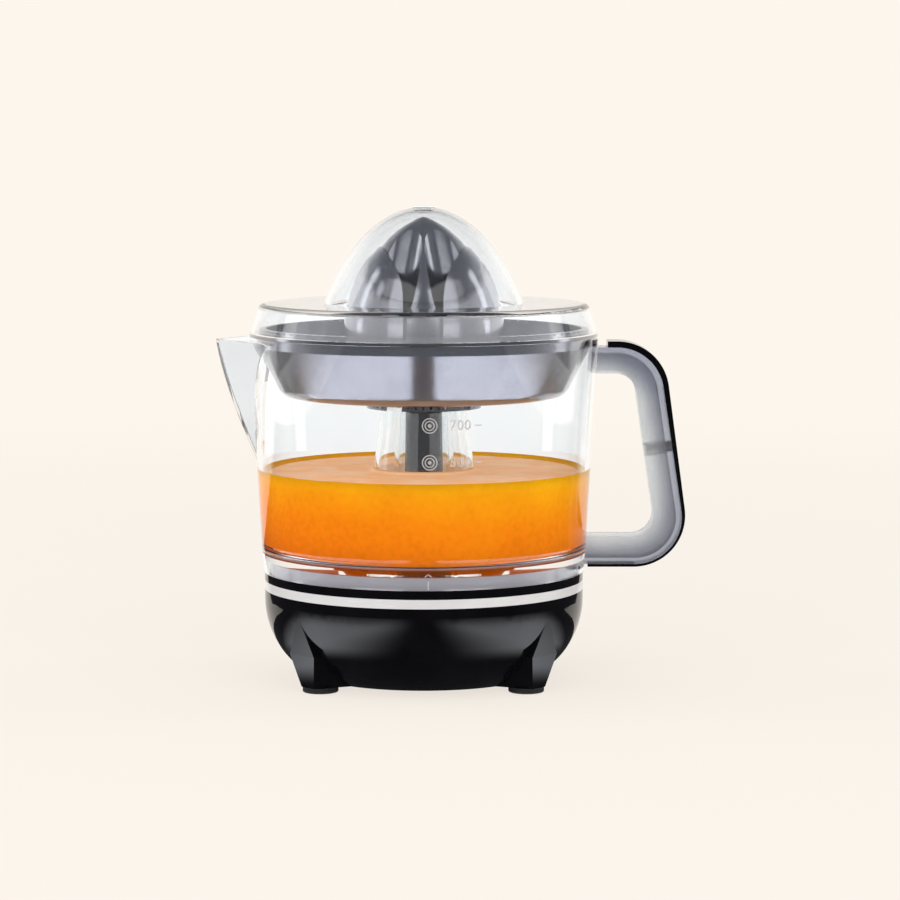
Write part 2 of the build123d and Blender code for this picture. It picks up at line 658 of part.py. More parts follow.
def gear_outline(teeth, module, turn):
    """Points of a spur gear, with a tooth centred on the direction that turn gives in degrees."""
    pitch_r = teeth * module / 2
    base_r = pitch_r * cos(radians(PRESSURE_ANGLE))
    tip_r = pitch_r + 0.85 * module
    root_r = pitch_r - 1.2 * module
    roll = tan(radians(PRESSURE_ANGLE)) - radians(PRESSURE_ANGLE)

    def half_angle(radius):
        lean = acos(min(1.0, base_r / radius))
        return (pi * module / 2 - BACKLASH) / (2 * pitch_r) + roll - (tan(lean) - lean)

    points = []
    for tooth in range(teeth):
        middle = radians(turn) + 2 * pi * tooth / teeth
        flank = [(root_r, half_angle(base_r)), (pitch_r, half_angle(pitch_r)), (tip_r, half_angle(tip_r))]
        for radius, half in flank:
            points.append((radius * cos(middle - half), radius * sin(middle - half)))
        for radius, half in reversed(flank):
            points.append((radius * cos(middle + half), radius * sin(middle + half)))
    return points


with BuildPart() as output_gear:
    with BuildSketch(Plane.XY.offset(output_z)):
        with BuildLine():
            Polyline(*gear_outline(OUTPUT_TEETH, OUTPUT_MODULE, idler_angle), close=True)
        make_face()
        with BuildSketch(mode=Mode.SUBTRACT):
            Circle(SPINDLE_R + RUN_GAP)
            with Locations((SPINDLE_R - SPINDLE_FLAT + RUN_GAP, 0)):
                Rectangle(
                    SPINDLE_R, 2 * SPINDLE_R + 1, align=(Align.MIN, Align.CENTER), mode=Mode.SUBTRACT
                )
    extrude(amount=GEAR_T)
output_gear.part.label = "output_gear"
export_step(output_gear.part.moved(to_frame), "parts/output_gear.step")

with BuildPart() as idler_gear:
    with BuildSketch(Plane((idler_x, idler_y, idler_z))):
        with BuildLine():
            Polyline(*gear_outline(IDLER_LARGE_TEETH, MOTOR_MODULE, idler_to_motor), close=True)
        make_face()
    extrude(amount=GEAR_T)
    gap_turn = idler_angle + 180 + 180 / IDLER_SMALL_TEETH
    with BuildSketch(Plane((idler_x, idler_y, idler_z + GEAR_T))):
        with BuildLine():
            Polyline(*gear_outline(IDLER_SMALL_TEETH, OUTPUT_MODULE, gap_turn), close=True)
        make_face()
    extrude(amount=small_gear_top - idler_z - GEAR_T)
    with BuildSketch(Plane((idler_x, idler_y, idler_z))):
        Circle(IDLER_PIN_R + RUN_GAP)
    extrude(amount=small_gear_top - idler_z, mode=Mode.SUBTRACT)
idler_gear.part.label = "idler_gear"
export_step(idler_gear.part.moved(to_frame), "parts/idler_gear.step")

with BuildPart() as idler_pin:
    with BuildSketch(Plane((idler_x, idler_y, PLATE_Z))):
        Circle(IDLER_PIN_R)
    extrude(amount=small_gear_top + STAGE_GAP - PLATE_Z)
    with BuildSketch(Plane((idler_x, idler_y, plate_top))):
        Circle(2 * IDLER_PIN_R)
    extrude(amount=STAGE_GAP - SIDE_GAP)
    with BuildSketch(Plane((idler_x, idler_y, small_gear_top + SIDE_GAP))):
        Circle(1.6 * IDLER_PIN_R)
    extrude(amount=STAGE_GAP - SIDE_GAP)
idler_pin.part.label = "idler_pin"
export_step(idler_pin.part.moved(to_frame), "parts/idler_pin.step")

# Chassis and motor
motor_ear_x = motor_can_r + MOTOR_EAR_W / 2
motor_z = PLATE_Z - MOTOR_CAN_H
rotor_z = motor_z + MOTOR_CAN_WALL + (MOTOR_CAN_H - MOTOR_CAN_WALL - ROTOR_H) / 2
motor_ears = [(motor_x - motor_ear_x, motor_y), (motor_x + motor_ear_x, motor_y)]
pillar_points = [ring_point(pillar_centre_r, angle) for angle in PILLAR_ANGLES]

with BuildPart() as gear_plate:
    with BuildSketch(Plane.XY.offset(PLATE_Z)):
        Circle(plate_r)
        Circle(PLUNGER_R + RUN_GAP, mode=Mode.SUBTRACT)
        with Locations((motor_x, motor_y)):
            Circle(MOTOR_SHAFT_R + RUN_GAP, mode=Mode.SUBTRACT)
        with Locations((idler_x, idler_y)):
            Circle(IDLER_PIN_R, mode=Mode.SUBTRACT)
        with Locations(*pillar_points, *motor_ears):
            Circle(SCREW_R + RUN_GAP, mode=Mode.SUBTRACT)
    extrude(amount=PLATE_T)
gear_plate.part.label = "gear_plate"
export_step(gear_plate.part.moved(to_frame), "parts/gear_plate.step")

with BuildPart() as plate_screws:
    with BuildSketch(Plane.XY.offset(PLATE_Z)):
        with Locations(*pillar_points):
            Circle(SCREW_HEAD_R)
    extrude(amount=-SCREW_HEAD_H)
    with BuildSketch(Plane.XY.offset(PLATE_Z)):
        with Locations(*pillar_points):
            Circle(SCREW_R)
    extrude(amount=COVER_SCREW_L)
plate_screws.part.label = "plate_screws"
export_step(plate_screws.part.moved(to_frame), "parts/plate_screws.step")

with BuildPart() as motor_can:
    with BuildSketch(Plane.XY.offset(motor_z)):
        with Locations((motor_x, motor_y)):
            Circle(motor_can_r)
    extrude(amount=MOTOR_CAN_H)
    with BuildSketch(Plane.XY.offset(PLATE_Z - MOTOR_EAR_T)):
        with Locations((motor_x, motor_y)):
            Rectangle(2 * (motor_can_r + MOTOR_EAR_W), MOTOR_EAR_W)
    extrude(amount=MOTOR_EAR_T)
    with BuildSketch(Plane.XY.offset(motor_z + MOTOR_CAN_WALL)):
        with Locations((motor_x, motor_y)):
            Circle(motor_can_r - MOTOR_CAN_WALL)
    extrude(amount=MOTOR_CAN_H - MOTOR_CAN_WALL, mode=Mode.SUBTRACT)
    with BuildSketch(Plane.XY.offset(motor_z)):
        with Locations((motor_x, motor_y)):
            Circle(MOTOR_SHAFT_R + RUN_GAP)
    extrude(amount=MOTOR_CAN_WALL, mode=Mode.SUBTRACT)
    with BuildSketch(Plane.XY.offset(PLATE_Z - MOTOR_EAR_T)):
        with Locations(*motor_ears):
            Circle(SCREW_R + RUN_GAP)
    extrude(amount=MOTOR_EAR_T, mode=Mode.SUBTRACT)
motor_can.part.label = "motor_can"
export_step(motor_can.part.moved(to_frame), "parts/motor_can.step")

with BuildPart() as motor_screws:
    with BuildSketch(Plane.XY.offset(PLATE_Z - MOTOR_EAR_T)):
        with Locations(*motor_ears):
            Circle(SCREW_HEAD_R)
    extrude(amount=-SCREW_HEAD_H)
    with BuildSketch(Plane.XY.offset(PLATE_Z - MOTOR_EAR_T)):
        with Locations(*motor_ears):
            Circle(SCREW_R)
    extrude(amount=MOTOR_EAR_T + PLATE_T)
motor_screws.part.label = "motor_screws"
export_step(motor_screws.part.moved(to_frame), "parts/motor_screws.step")

with BuildPart() as motor_coil:
    with BuildSketch(Plane.XY.offset(motor_z + MOTOR_CAN_WALL)):
        with Locations((motor_x, motor_y)):
            Circle(coil_r)
            Circle(coil_bore_r, mode=Mode.SUBTRACT)
    extrude(amount=MOTOR_CAN_H - MOTOR_CAN_WALL)
motor_coil.part.label = "motor_coil"
export_step(motor_coil.part.moved(to_frame), "parts/motor_coil.step")

with BuildPart() as rotor_magnet:
    with BuildSketch(Plane.XY.offset(rotor_z)):
        with Locations((motor_x, motor_y)):
            Circle(rotor_r)
            Circle(MOTOR_SHAFT_R, mode=Mode.SUBTRACT)
    extrude(amount=ROTOR_H)
rotor_magnet.part.label = "rotor_magnet"
export_step(rotor_magnet.part.moved(to_frame), "parts/rotor_magnet.step")

with BuildPart() as motor_shaft:
    with BuildSketch(Plane.XY.offset(motor_z)):
        with Locations((motor_x, motor_y)):
            Circle(MOTOR_SHAFT_R)
    extrude(amount=idler_z + GEAR_T - motor_z)
motor_shaft.part.label = "motor_shaft"
export_step(motor_shaft.part.moved(to_frame), "parts/motor_shaft.step")

with BuildPart() as motor_pinion:
    pinion_turn = idler_to_motor + 180 + 180 / PINION_TEETH
    with BuildSketch(Plane((motor_x, motor_y, idler_z))):
        with BuildLine():
            Polyline(*gear_outline(PINION_TEETH, MOTOR_MODULE, pinion_turn), close=True)
        make_face()
        Circle(MOTOR_SHAFT_R, mode=Mode.SUBTRACT)
    extrude(amount=GEAR_T)
motor_pinion.part.label = "motor_pinion"
export_step(motor_pinion.part.moved(to_frame), "parts/motor_pinion.step")

# Spindle: collar under the gear, clip over it, hexagon at the top
spindle_foot_z = plate_top + PRESS_TRAVEL + STAGE_GAP

with BuildPart() as drive_spindle:
    with BuildSketch(Plane.XY.offset(spindle_foot_z)):
        Circle(SPINDLE_R)
    extrude(amount=spindle_top_z - SPINDLE_HEX_L - spindle_foot_z)
    with BuildSketch(Plane.XY.offset(output_z - SPINDLE_COLLAR_T)):
        Circle(SPINDLE_COLLAR_R)
    extrude(amount=SPINDLE_COLLAR_T)
    with BuildSketch(Plane.XY.offset(output_z)):
        with Locations((SPINDLE_R - SPINDLE_FLAT, 0)):
            Rectangle(SPINDLE_R, 2 * SPINDLE_R, align=(Align.MIN, Align.CENTER))
    extrude(amount=GEAR_T, mode=Mode.SUBTRACT)
    with BuildSketch(Plane.XY.offset(clip_z)):
        Circle(SPINDLE_R + 1)
        Circle(SPINDLE_R - CLIP_GROOVE, mode=Mode.SUBTRACT)
    extrude(amount=CLIP_T, mode=Mode.SUBTRACT)
    with BuildSketch(Plane.XY.offset(spindle_top_z - SPINDLE_HEX_L)):
        RegularPolygon(SPINDLE_HEX / 2, 6, major_radius=False)
    extrude(amount=SPINDLE_HEX_L)
    chamfer(drive_spindle.faces().sort_by(Axis.Z)[-1].edges(), length=0.6)
drive_spindle.part.label = "drive_spindle"
export_step(drive_spindle.part.moved(to_frame), "parts/drive_spindle.step")

with BuildPart() as gear_clip:
    with BuildSketch(Plane.XY.offset(clip_z)):
        Circle(CLIP_R)
        Circle(SPINDLE_R - CLIP_GROOVE, mode=Mode.SUBTRACT)
        Rectangle(CLIP_R, SPINDLE_R, align=(Align.MIN, Align.CENTER), mode=Mode.SUBTRACT)
    extrude(amount=CLIP_T)
gear_clip.part.label = "gear_clip"
export_step(gear_clip.part.moved(to_frame), "parts/gear_clip.step")

with BuildPart() as spindle_plunger:
    with BuildSketch(Plane.XY.offset(PLUNGER_FLANGE_Z)):
        Circle(PLUNGER_FLANGE_R)
    extrude(amount=PLUNGER_FLANGE_T)
    with BuildSketch(Plane.XY.offset(PLUNGER_FLANGE_Z)):
        Circle(PLUNGER_R)
    extrude(amount=spindle_foot_z - SEAT_GAP - PLUNGER_FLANGE_Z)
spindle_plunger.part.label = "spindle_plunger"
export_step(spindle_plunger.part.moved(to_frame), "parts/spindle_plunger.step")

# Spring: one wire on arcs of a quarter turn, from the cover's cup to the plunger
spring_z = cover_top + SPRING_WIRE_R + RUN_GAP
spring_pitch = (PLUNGER_FLANGE_Z - SPRING_WIRE_R - RUN_GAP - spring_z) / SPRING_TURNS


def spring_point(turns):
    """Point on the middle of the spring's wire after a number of turns."""
    return *ring_point(SPRING_R, 360 * turns), spring_z + spring_pitch * turns


with BuildPart() as spindle_spring:
    with BuildLine() as spring_wire:
        for quarter in range(4 * SPRING_TURNS):
            start = quarter / 4
            ThreePointArc(spring_point(start), spring_point(start + 0.125), spring_point(start + 0.25))
    with BuildSketch(Plane(spring_point(0), z_dir=spring_wire.line @ 0.001 - spring_wire.line @ 0)):
        Circle(SPRING_WIRE_R)
    sweep(path=spring_wire.line)
print("spring wire's gap between turns:", round(spring_pitch - 2 * SPRING_WIRE_R, 2), "mm")
spindle_spring.part.label = "spindle_spring"
export_step(spindle_spring.part.moved(to_frame), "parts/spindle_spring.step")

# Switch: the lever lies just under the plunger's flange and over the button
lever_z = PLUNGER_FLANGE_Z - SEAT_GAP - LEVER_T
switch_z = cover_top
switch_top = switch_z + SWITCH_H
switch_end_x = SWITCH_START_X + SWITCH_L
lever_tip_x = SWITCH_START_X - LEVER_OVERHANG
pivot_x = switch_end_x - CHEEK_L / 2
pivot_z = lever_z + LEVER_T / 2
lever_pivot = Plane((pivot_x, 0, pivot_z), x_dir=(1, 0, 0), z_dir=(0, -1, 0))
lever_eye_r = LEVER_PIN_R + RUN_GAP + LEVER_EYE_WALL
cheek_t = (SWITCH_W - LEVER_W) / 2 - SIDE_GAP
cheek_y = (SWITCH_W - cheek_t) / 2
button_x = pivot_x - BUTTON_SHARE * (pivot_x - lever_tip_x)
button_top = lever_z - SEAT_GAP

with BuildPart() as switch_body:
    with BuildSketch(Plane.XY.offset(switch_z)):
        with Locations((SWITCH_START_X, 0)):
            Rectangle(SWITCH_L, SWITCH_W, align=(Align.MIN, Align.CENTER))
    extrude(amount=SWITCH_H)
    with BuildSketch(Plane.XY.offset(switch_top)):
        with Locations((pivot_x, -cheek_y), (pivot_x, cheek_y)):
            Rectangle(CHEEK_L, cheek_t)
    extrude(amount=pivot_z + CHEEK_RISE - switch_top)
    with BuildSketch(lever_pivot):
        Circle(LEVER_PIN_R)
    extrude(amount=SWITCH_W / 2, both=True)
    with BuildSketch(Plane.XY.offset(switch_top)):
        with Locations((button_x, 0)):
            Rectangle(BUTTON_L + 2 * RUN_GAP, BUTTON_W + 2 * RUN_GAP)
    extrude(amount=-(BUTTON_DEPTH + PRESS_TRAVEL), mode=Mode.SUBTRACT)
switch_body.part.label = "switch_body"
export_step(switch_body.part.moved(to_frame), "parts/switch_body.step")

with BuildPart() as switch_lever:
    with BuildSketch(Plane.XY.offset(lever_z)):
        with Locations((lever_tip_x, 0)):
            Rectangle(pivot_x - lever_tip_x, LEVER_W, align=(Align.MIN, Align.CENTER))
    extrude(amount=LEVER_T)
    with BuildSketch(lever_pivot):
        Circle(lever_eye_r)
    extrude(amount=LEVER_W / 2, both=True)
    with BuildSketch(lever_pivot):
        Circle(LEVER_PIN_R + RUN_GAP)
    extrude(amount=LEVER_W / 2, both=True, mode=Mode.SUBTRACT)
switch_lever.part.label = "switch_lever"
export_step(switch_lever.part.moved(to_frame), "parts/switch_lever.step")

with BuildPart() as switch_button:
    with BuildSketch(Plane.XY.offset(switch_top - BUTTON_DEPTH)):
        with Locations((button_x, 0)):
            Rectangle(BUTTON_L, BUTTON_W)
    extrude(amount=button_top - switch_top + BUTTON_DEPTH)
switch_button.part.label = "switch_button"
export_step(switch_button.part.moved(to_frame), "parts/switch_button.step")

# Jug: a tapered wall, a raised floor over a skirt, a double-walled post and a V spout
jug_skirt_r = collar_r + JUG_SKIRT_GAP
jug_inside_z = jug_floor_z + JUG_FLOOR_T
post_rise = post_top_z - jug_floor_z
post_slope = (POST_TOP_R - POST_FOOT_R) / post_rise
bore_slope = (POST_BORE_TOP_R - POST_BORE_FOOT_R) / post_rise


def post_radius(z, inset=0.0):
    """Radius of the post's outer cone at a height, less an inset."""
    return POST_FOOT_R + (z - jug_floor_z) * post_slope - inset


def bore_radius(z, outset=0.0):
    """Radius of the post's bore at a height, plus an outset."""
    return POST_BORE_FOOT_R + (z - jug_floor_z) * bore_slope + outset


def spout_section(share, inset=0.0):
    """Corner points and height of the spout, from 0 where it leaves the jug's wall to 1 at its top."""
    z = spout_top_z - SPOUT_DEPTH * (1 - share)
    wall_r = jug_radius(z)
    reach = SPOUT_REACH * (1 - (1 - share) ** SPOUT_CURVE)
    half = SPOUT_HALF_W * (0.15 + 0.85 * share)
    lean = atan2(half, reach + SPOUT_TIP_FILLET)
    tip = wall_r + reach + SPOUT_TIP_FILLET * (1 / sin(lean) - 1) - inset / sin(lean)
    root = wall_r - 4 * JUG_WALL
    spread = (tip - root) * tan(lean)
    return [(-tip, 0), (-root, -spread), (-root, spread)], z


spout_shares = (0.0, 0.35, 0.7, 1.0)

with BuildPart() as jug:
    with BuildSketch(Plane.XZ):
        with BuildLine():
            Polyline(
                (jug_skirt_r, jug_foot_z),
                (jug_radius(jug_foot_z), jug_foot_z),
                (JUG_RIM_R, jug_rim_z),
                (0, jug_rim_z),
                (0, jug_floor_z),
                (jug_skirt_r, jug_floor_z),
                close=True,
            )
        make_face()
    revolve(axis=Axis.Z)
    for share in spout_shares:
        corners, z = spout_section(share)
        with BuildSketch(Plane.XY.offset(z)) as spout_outer:
            with BuildLine():
                Polyline(*corners, close=True)
            make_face()
            fillet(spout_outer.vertices().sort_by(Axis.X)[0], radius=SPOUT_TIP_FILLET)
    loft()
    with BuildSketch(Plane.XZ):
        with BuildLine():
            FilletPolyline(
                (post_radius(jug_inside_z), jug_inside_z),
                (jug_radius(jug_inside_z, JUG_WALL), jug_inside_z),
                (JUG_RIM_R - JUG_WALL, jug_rim_z),
                radius=JUG_FLOOR_FILLET,
            )
            Polyline(
                (JUG_RIM_R - JUG_WALL, jug_rim_z),
                (0, jug_rim_z),
                (0, post_top_z),
                (post_radius(post_top_z), post_top_z),
                (post_radius(jug_inside_z), jug_inside_z),
            )
        make_face()
    revolve(axis=Axis.Z, mode=Mode.SUBTRACT)
    with BuildSketch(Plane.XZ):
        with BuildLine():
            Polyline(
                (0, jug_floor_z),
                (bore_radius(jug_floor_z), jug_floor_z),
                (bore_radius(post_top_z), post_top_z),
                (0, post_top_z),
                close=True,
            )
        make_face()
        with BuildLine():
            post_cap_z = post_top_z - POST_WALL
            Polyline(
                (bore_radius(jug_floor_z, POST_WALL), jug_floor_z),
                (post_radius(jug_floor_z, POST_WALL), jug_floor_z),
                (post_radius(post_cap_z, POST_WALL), post_cap_z),
                (bore_radius(post_cap_z, POST_WALL), post_cap_z),
                close=True,
            )
        make_face()
    revolve(axis=Axis.Z, mode=Mode.SUBTRACT)
    for share in spout_shares:
        corners, z = spout_section(share, JUG_WALL)
        with BuildSketch(Plane.XY.offset(z)) as spout_inner:
            with BuildLine():
                Polyline(*corners, close=True)
            make_face()
            fillet(spout_inner.vertices().sort_by(Axis.X)[0], radius=SPOUT_TIP_FILLET / 2)
    loft(mode=Mode.SUBTRACT)
jug.part.label = "jug"
export_step(jug.part.moved(to_frame), "parts/jug.step")

# Handle: four outlines from outside to inside, each from the upper arm to the lower one
handle_start_x = jug_foot_r - JUG_WALL


def handle_outline(top_inset, bottom_inset):
    """Corner points of the handle's outer line, drawn in by one depth at the top and one at the bottom."""
    top_z = handle_top_z - top_inset
    bottom_z = handle_bottom_z + bottom_inset
    top_x = handle_top_x + handle_lean * top_inset - top_inset
    bottom_x = handle_bottom_x - handle_lean * bottom_inset - bottom_inset
    return [(handle_start_x, top_z), (top_x, top_z), (bottom_x, bottom_z), (handle_start_x, bottom_z)]


grip_line = handle_outline(0, 0)
shell_line = handle_outline(GRIP_TOP_T, GRIP_BOTTOM_T)
web_line = handle_outline(GRIP_TOP_T + HANDLE_WEB, GRIP_BOTTOM_T + HANDLE_WEB)
shell_corner_r = HANDLE_CORNER_R - (GRIP_TOP_T + GRIP_BOTTOM_T) / 2
web_corner_r = shell_corner_r - HANDLE_WEB
gap_top_z = handle_top_z - HANDLE_ARM_TOP
gap_bottom_z = handle_bottom_z + HANDLE_ARM_BOTTOM
gap_line = [
    (handle_start_x, gap_top_z),
    (handle_gap_top_x, gap_top_z),
    (handle_gap_bottom_x, gap_bottom_z),
    (handle_start_x, gap_bottom_z),
]
boss_share = (gap_top_z - handle_boss_z) / (gap_top_z - gap_bottom_z)
boss_foot_x = handle_gap_top_x + boss_share * (handle_gap_bottom_x - handle_gap_top_x)
shell_fall = shell_line[1][1] - shell_line[2][1]
shell_lean = atan2(shell_line[2][0] - shell_line[1][0], shell_fall)
boss_out = (cos(shell_lean), 0, sin(shell_lean))
boss_plane = Plane((boss_foot_x, 0, handle_boss_z), x_dir=(0, 1, 0), z_dir=boss_out)
shell_x_at_boss = shell_line[1][0] + (shell_line[1][1] - handle_boss_z) * tan(shell_lean)
boss_to_shell = (shell_x_at_boss - boss_foot_x) * cos(shell_lean)
boss_l = boss_to_shell - HANDLE_WEB
grip_share = (handle_top_z - handle_boss_z) / handle_fall
grip_t_at_boss = GRIP_TOP_T + grip_share * (GRIP_BOTTOM_T - GRIP_TOP_T)
jug_wall_top_x = jug_radius(handle_top_z)
jug_wall_bottom_x = jug_radius(handle_bottom_z)

with BuildPart() as jug_handle:
    with BuildSketch(Plane.XZ):
        with BuildLine():
            FilletPolyline(*shell_line, radius=shell_corner_r)
            FilletPolyline(*gap_line, radius=HANDLE_GAP_CORNER_R)
            Line(shell_line[0], gap_line[0])
            Line(shell_line[3], gap_line[3])
        make_face()
    extrude(amount=HANDLE_W / 2, both=True)
    with BuildSketch(Plane.XZ):
        with BuildLine():
            FilletPolyline(*web_line, radius=web_corner_r)
            FilletPolyline(*gap_line, radius=HANDLE_GAP_CORNER_R)
            Line(web_line[0], gap_line[0])
            Line(web_line[3], gap_line[3])
        make_face()
    extrude(amount=HANDLE_W / 2 - HANDLE_SIDE, both=True, mode=Mode.SUBTRACT)
    with BuildSketch(boss_plane):
        Circle(HANDLE_BOSS_R)
    extrude(amount=boss_l + HANDLE_WEB / 4)
    with BuildSketch(boss_plane):
        Circle(HANDLE_SCREW_R + SIDE_GAP / 2)
    extrude(amount=boss_to_shell, mode=Mode.SUBTRACT)
    with BuildSketch(boss_plane):
        Circle(HANDLE_SCREW_HEAD_R + SIDE_GAP / 2)
    extrude(amount=HANDLE_SCREW_RECESS, mode=Mode.SUBTRACT)
    with BuildSketch(boss_plane.offset(boss_l)):
        Circle(GRIP_BOSS_R + RUN_GAP)
    extrude(amount=2 * HANDLE_WEB, mode=Mode.SUBTRACT)
    with BuildSketch(Plane.XZ):
        with BuildLine():
            Polyline(
                (0, jug_foot_z),
                (jug_radius(jug_foot_z), jug_foot_z),
                (JUG_RIM_R, jug_rim_z),
                (0, jug_rim_z),
                close=True,
            )
        make_face()
    revolve(axis=Axis.Z, mode=Mode.SUBTRACT)
jug_handle.part.label = "jug_handle"
export_step(jug_handle.part.moved(to_frame), "parts/jug_handle.step")

with BuildPart() as handle_grip:
    with BuildSketch(Plane.XZ):
        with BuildLine():
            FilletPolyline(*grip_line, radius=HANDLE_CORNER_R)
            FilletPolyline(*shell_line, radius=shell_corner_r)
            Line(grip_line[0], shell_line[0])
            Line(grip_line[3], shell_line[3])
        make_face()
        with Locations((handle_start_x, handle_top_z)):
            Rectangle(
                jug_wall_top_x + GRIP_TOP_GAP - handle_start_x,
                handle_fall,
                align=(Align.MIN, Align.CENTER),
                mode=Mode.SUBTRACT,
            )
        with Locations((handle_start_x, handle_bottom_z)):
            Rectangle(
                jug_wall_bottom_x + GRIP_BOTTOM_GAP - handle_start_x,
                handle_fall,
                align=(Align.MIN, Align.CENTER),
                mode=Mode.SUBTRACT,
            )
    extrude(amount=HANDLE_W / 2, both=True)
    with BuildSketch(boss_plane.offset(boss_l + SEAT_GAP)):
        Circle(GRIP_BOSS_R)
    extrude(amount=HANDLE_WEB - SEAT_GAP + grip_t_at_boss / 4)
    with BuildSketch(boss_plane.offset(boss_l + SEAT_GAP)):
        Circle(HANDLE_SCREW_R + RUN_GAP)
    extrude(amount=HANDLE_WEB - SEAT_GAP + grip_t_at_boss / 2, mode=Mode.SUBTRACT)
handle_grip.part.label = "handle_grip"
export_step(handle_grip.part.moved(to_frame), "parts/handle_grip.step")

with BuildPart() as handle_screw:
    with BuildSketch(boss_plane.offset(HANDLE_SCREW_RECESS - HANDLE_SCREW_HEAD_H)):
        Circle(HANDLE_SCREW_HEAD_R)
    extrude(amount=HANDLE_SCREW_HEAD_H)
    with BuildSketch(boss_plane.offset(HANDLE_SCREW_RECESS)):
        Circle(HANDLE_SCREW_R)
    extrude(amount=boss_to_shell + grip_t_at_boss / 4 - HANDLE_SCREW_RECESS)
handle_screw.part.label = "handle_screw"
export_step(handle_screw.part.moved(to_frame), "parts/handle_screw.step")

# Strainer bowl: rim flange, neck in the jug, cone, floor with a sleeve and a slotted collar
stem_bush_r = STEM_TOP_R + RUN_GAP + STEM_BUSH_WALL
sleeve_bore_r = stem_bush_r + RUN_GAP
sleeve_r = sleeve_bore_r + SLEEVE_WALL
bowl_inside_z = bowl_floor_z + BOWL_FLOOR_T
cone_slope = (bowl_neck_r - bowl_floor_r) / (bowl_neck_z - bowl_floor_z)


def bowl_radius(z, inset=0.0):
    """Radius of the strainer bowl's cone at a height, less an inset."""
    return bowl_floor_r + (z - bowl_floor_z) * cone_slope - inset


with BuildPart() as strainer_bowl:
    with BuildSketch(Plane.XZ):
        with BuildLine():
            FilletPolyline(
                (0, bowl_floor_z),
                (bowl_floor_r, bowl_floor_z),
                (bowl_neck_r, bowl_neck_z),
                radius=BOWL_CORNER_R,
            )
            Polyline(
                (bowl_neck_r, bowl_neck_z),
                (bowl_neck_r, flange_z),
                (flange_r, flange_z),
                (flange_r, flange_top),
                (0, flange_top),
                (0, bowl_floor_z),
            )
        make_face()
    revolve(axis=Axis.Z)
    with BuildSketch(Plane.XZ):
        with BuildLine():
            FilletPolyline(
                (sleeve_r, bowl_inside_z),
                (bowl_radius(bowl_inside_z, BOWL_WALL), bowl_inside_z),
                (bowl_neck_r - BOWL_WALL, bowl_neck_z),
                radius=BOWL_CORNER_R - BOWL_WALL,
            )
            Polyline(
                (bowl_neck_r - BOWL_WALL, bowl_neck_z),
                (bowl_neck_r - BOWL_WALL, flange_top),
                (0, flange_top),
                (0, sleeve_top_z),
                (sleeve_r, sleeve_top_z),
                (sleeve_r, bowl_inside_z),
            )
        make_face()
    revolve(axis=Axis.Z, mode=Mode.SUBTRACT)
    with BuildSketch(Plane.XY.offset(bowl_floor_z)):
        Circle(sleeve_bore_r)
    extrude(amount=sleeve_top_z - bowl_floor_z, mode=Mode.SUBTRACT)
    with BuildSketch(Plane.XY.offset(bowl_floor_z + BOWL_FLOOR_T / 2)):
        Circle(COLLAR_R)
        Circle(COLLAR_R - COLLAR_WALL, mode=Mode.SUBTRACT)
    extrude(amount=-(COLLAR_DROP + BOWL_FLOOR_T / 2))
    with BuildSketch(Plane.XY.offset(bowl_floor_z)):
        with PolarLocations(COLLAR_R, COLLAR_SLITS):
            Rectangle(4 * COLLAR_WALL, COLLAR_SLIT_W)
    extrude(amount=-(COLLAR_DROP - COLLAR_WALL / 2), mode=Mode.SUBTRACT)
    with BuildSketch(Plane.XY.offset(bowl_floor_z - COLLAR_DROP)):
        with Locations((-COLLAR_R / 2, -COLLAR_R)):
            Rectangle(COLLAR_NOTCH_W, COLLAR_R)
    extrude(amount=COLLAR_WALL, mode=Mode.SUBTRACT)
    with BuildSketch(Plane.XY.offset(bowl_floor_z)):
        with PolarLocations((POST_TOP_R + COLLAR_R - COLLAR_WALL) / 2, OUTLET_COUNT):
            RectangleRounded(OUTLET_L, OUTLET_W, OUTLET_L / 3)
    extrude(amount=BOWL_FLOOR_T, mode=Mode.SUBTRACT)
strainer_bowl.part.label = "strainer_bowl"
export_step(strainer_bowl.part.moved(to_frame), "parts/strainer_bowl.step")

# Pulp sieve: a slotted cone inside the bowl, with a chimney over the bowl's sleeve
sieve_inset = BOWL_WALL + SIDE_GAP
sieve_neck_r = bowl_neck_r - sieve_inset
chimney_bore_r = sleeve_r + SIDE_GAP
chimney_r = chimney_bore_r + CHIMNEY_WALL
chimney_top = sleeve_top_z - CHIMNEY_DROP
sieve_inside_z = sieve_floor_z + SIEVE_FLOOR_T
sieve_rim_r = sieve_neck_r + SIEVE_RIM_LIP
sieve_floor_r = bowl_radius(sieve_inside_z, sieve_inset + SIEVE_WALL)
floor_slit_centre_r = sieve_floor_r - FLOOR_SLIT_EDGE - FLOOR_SLIT_L / 2

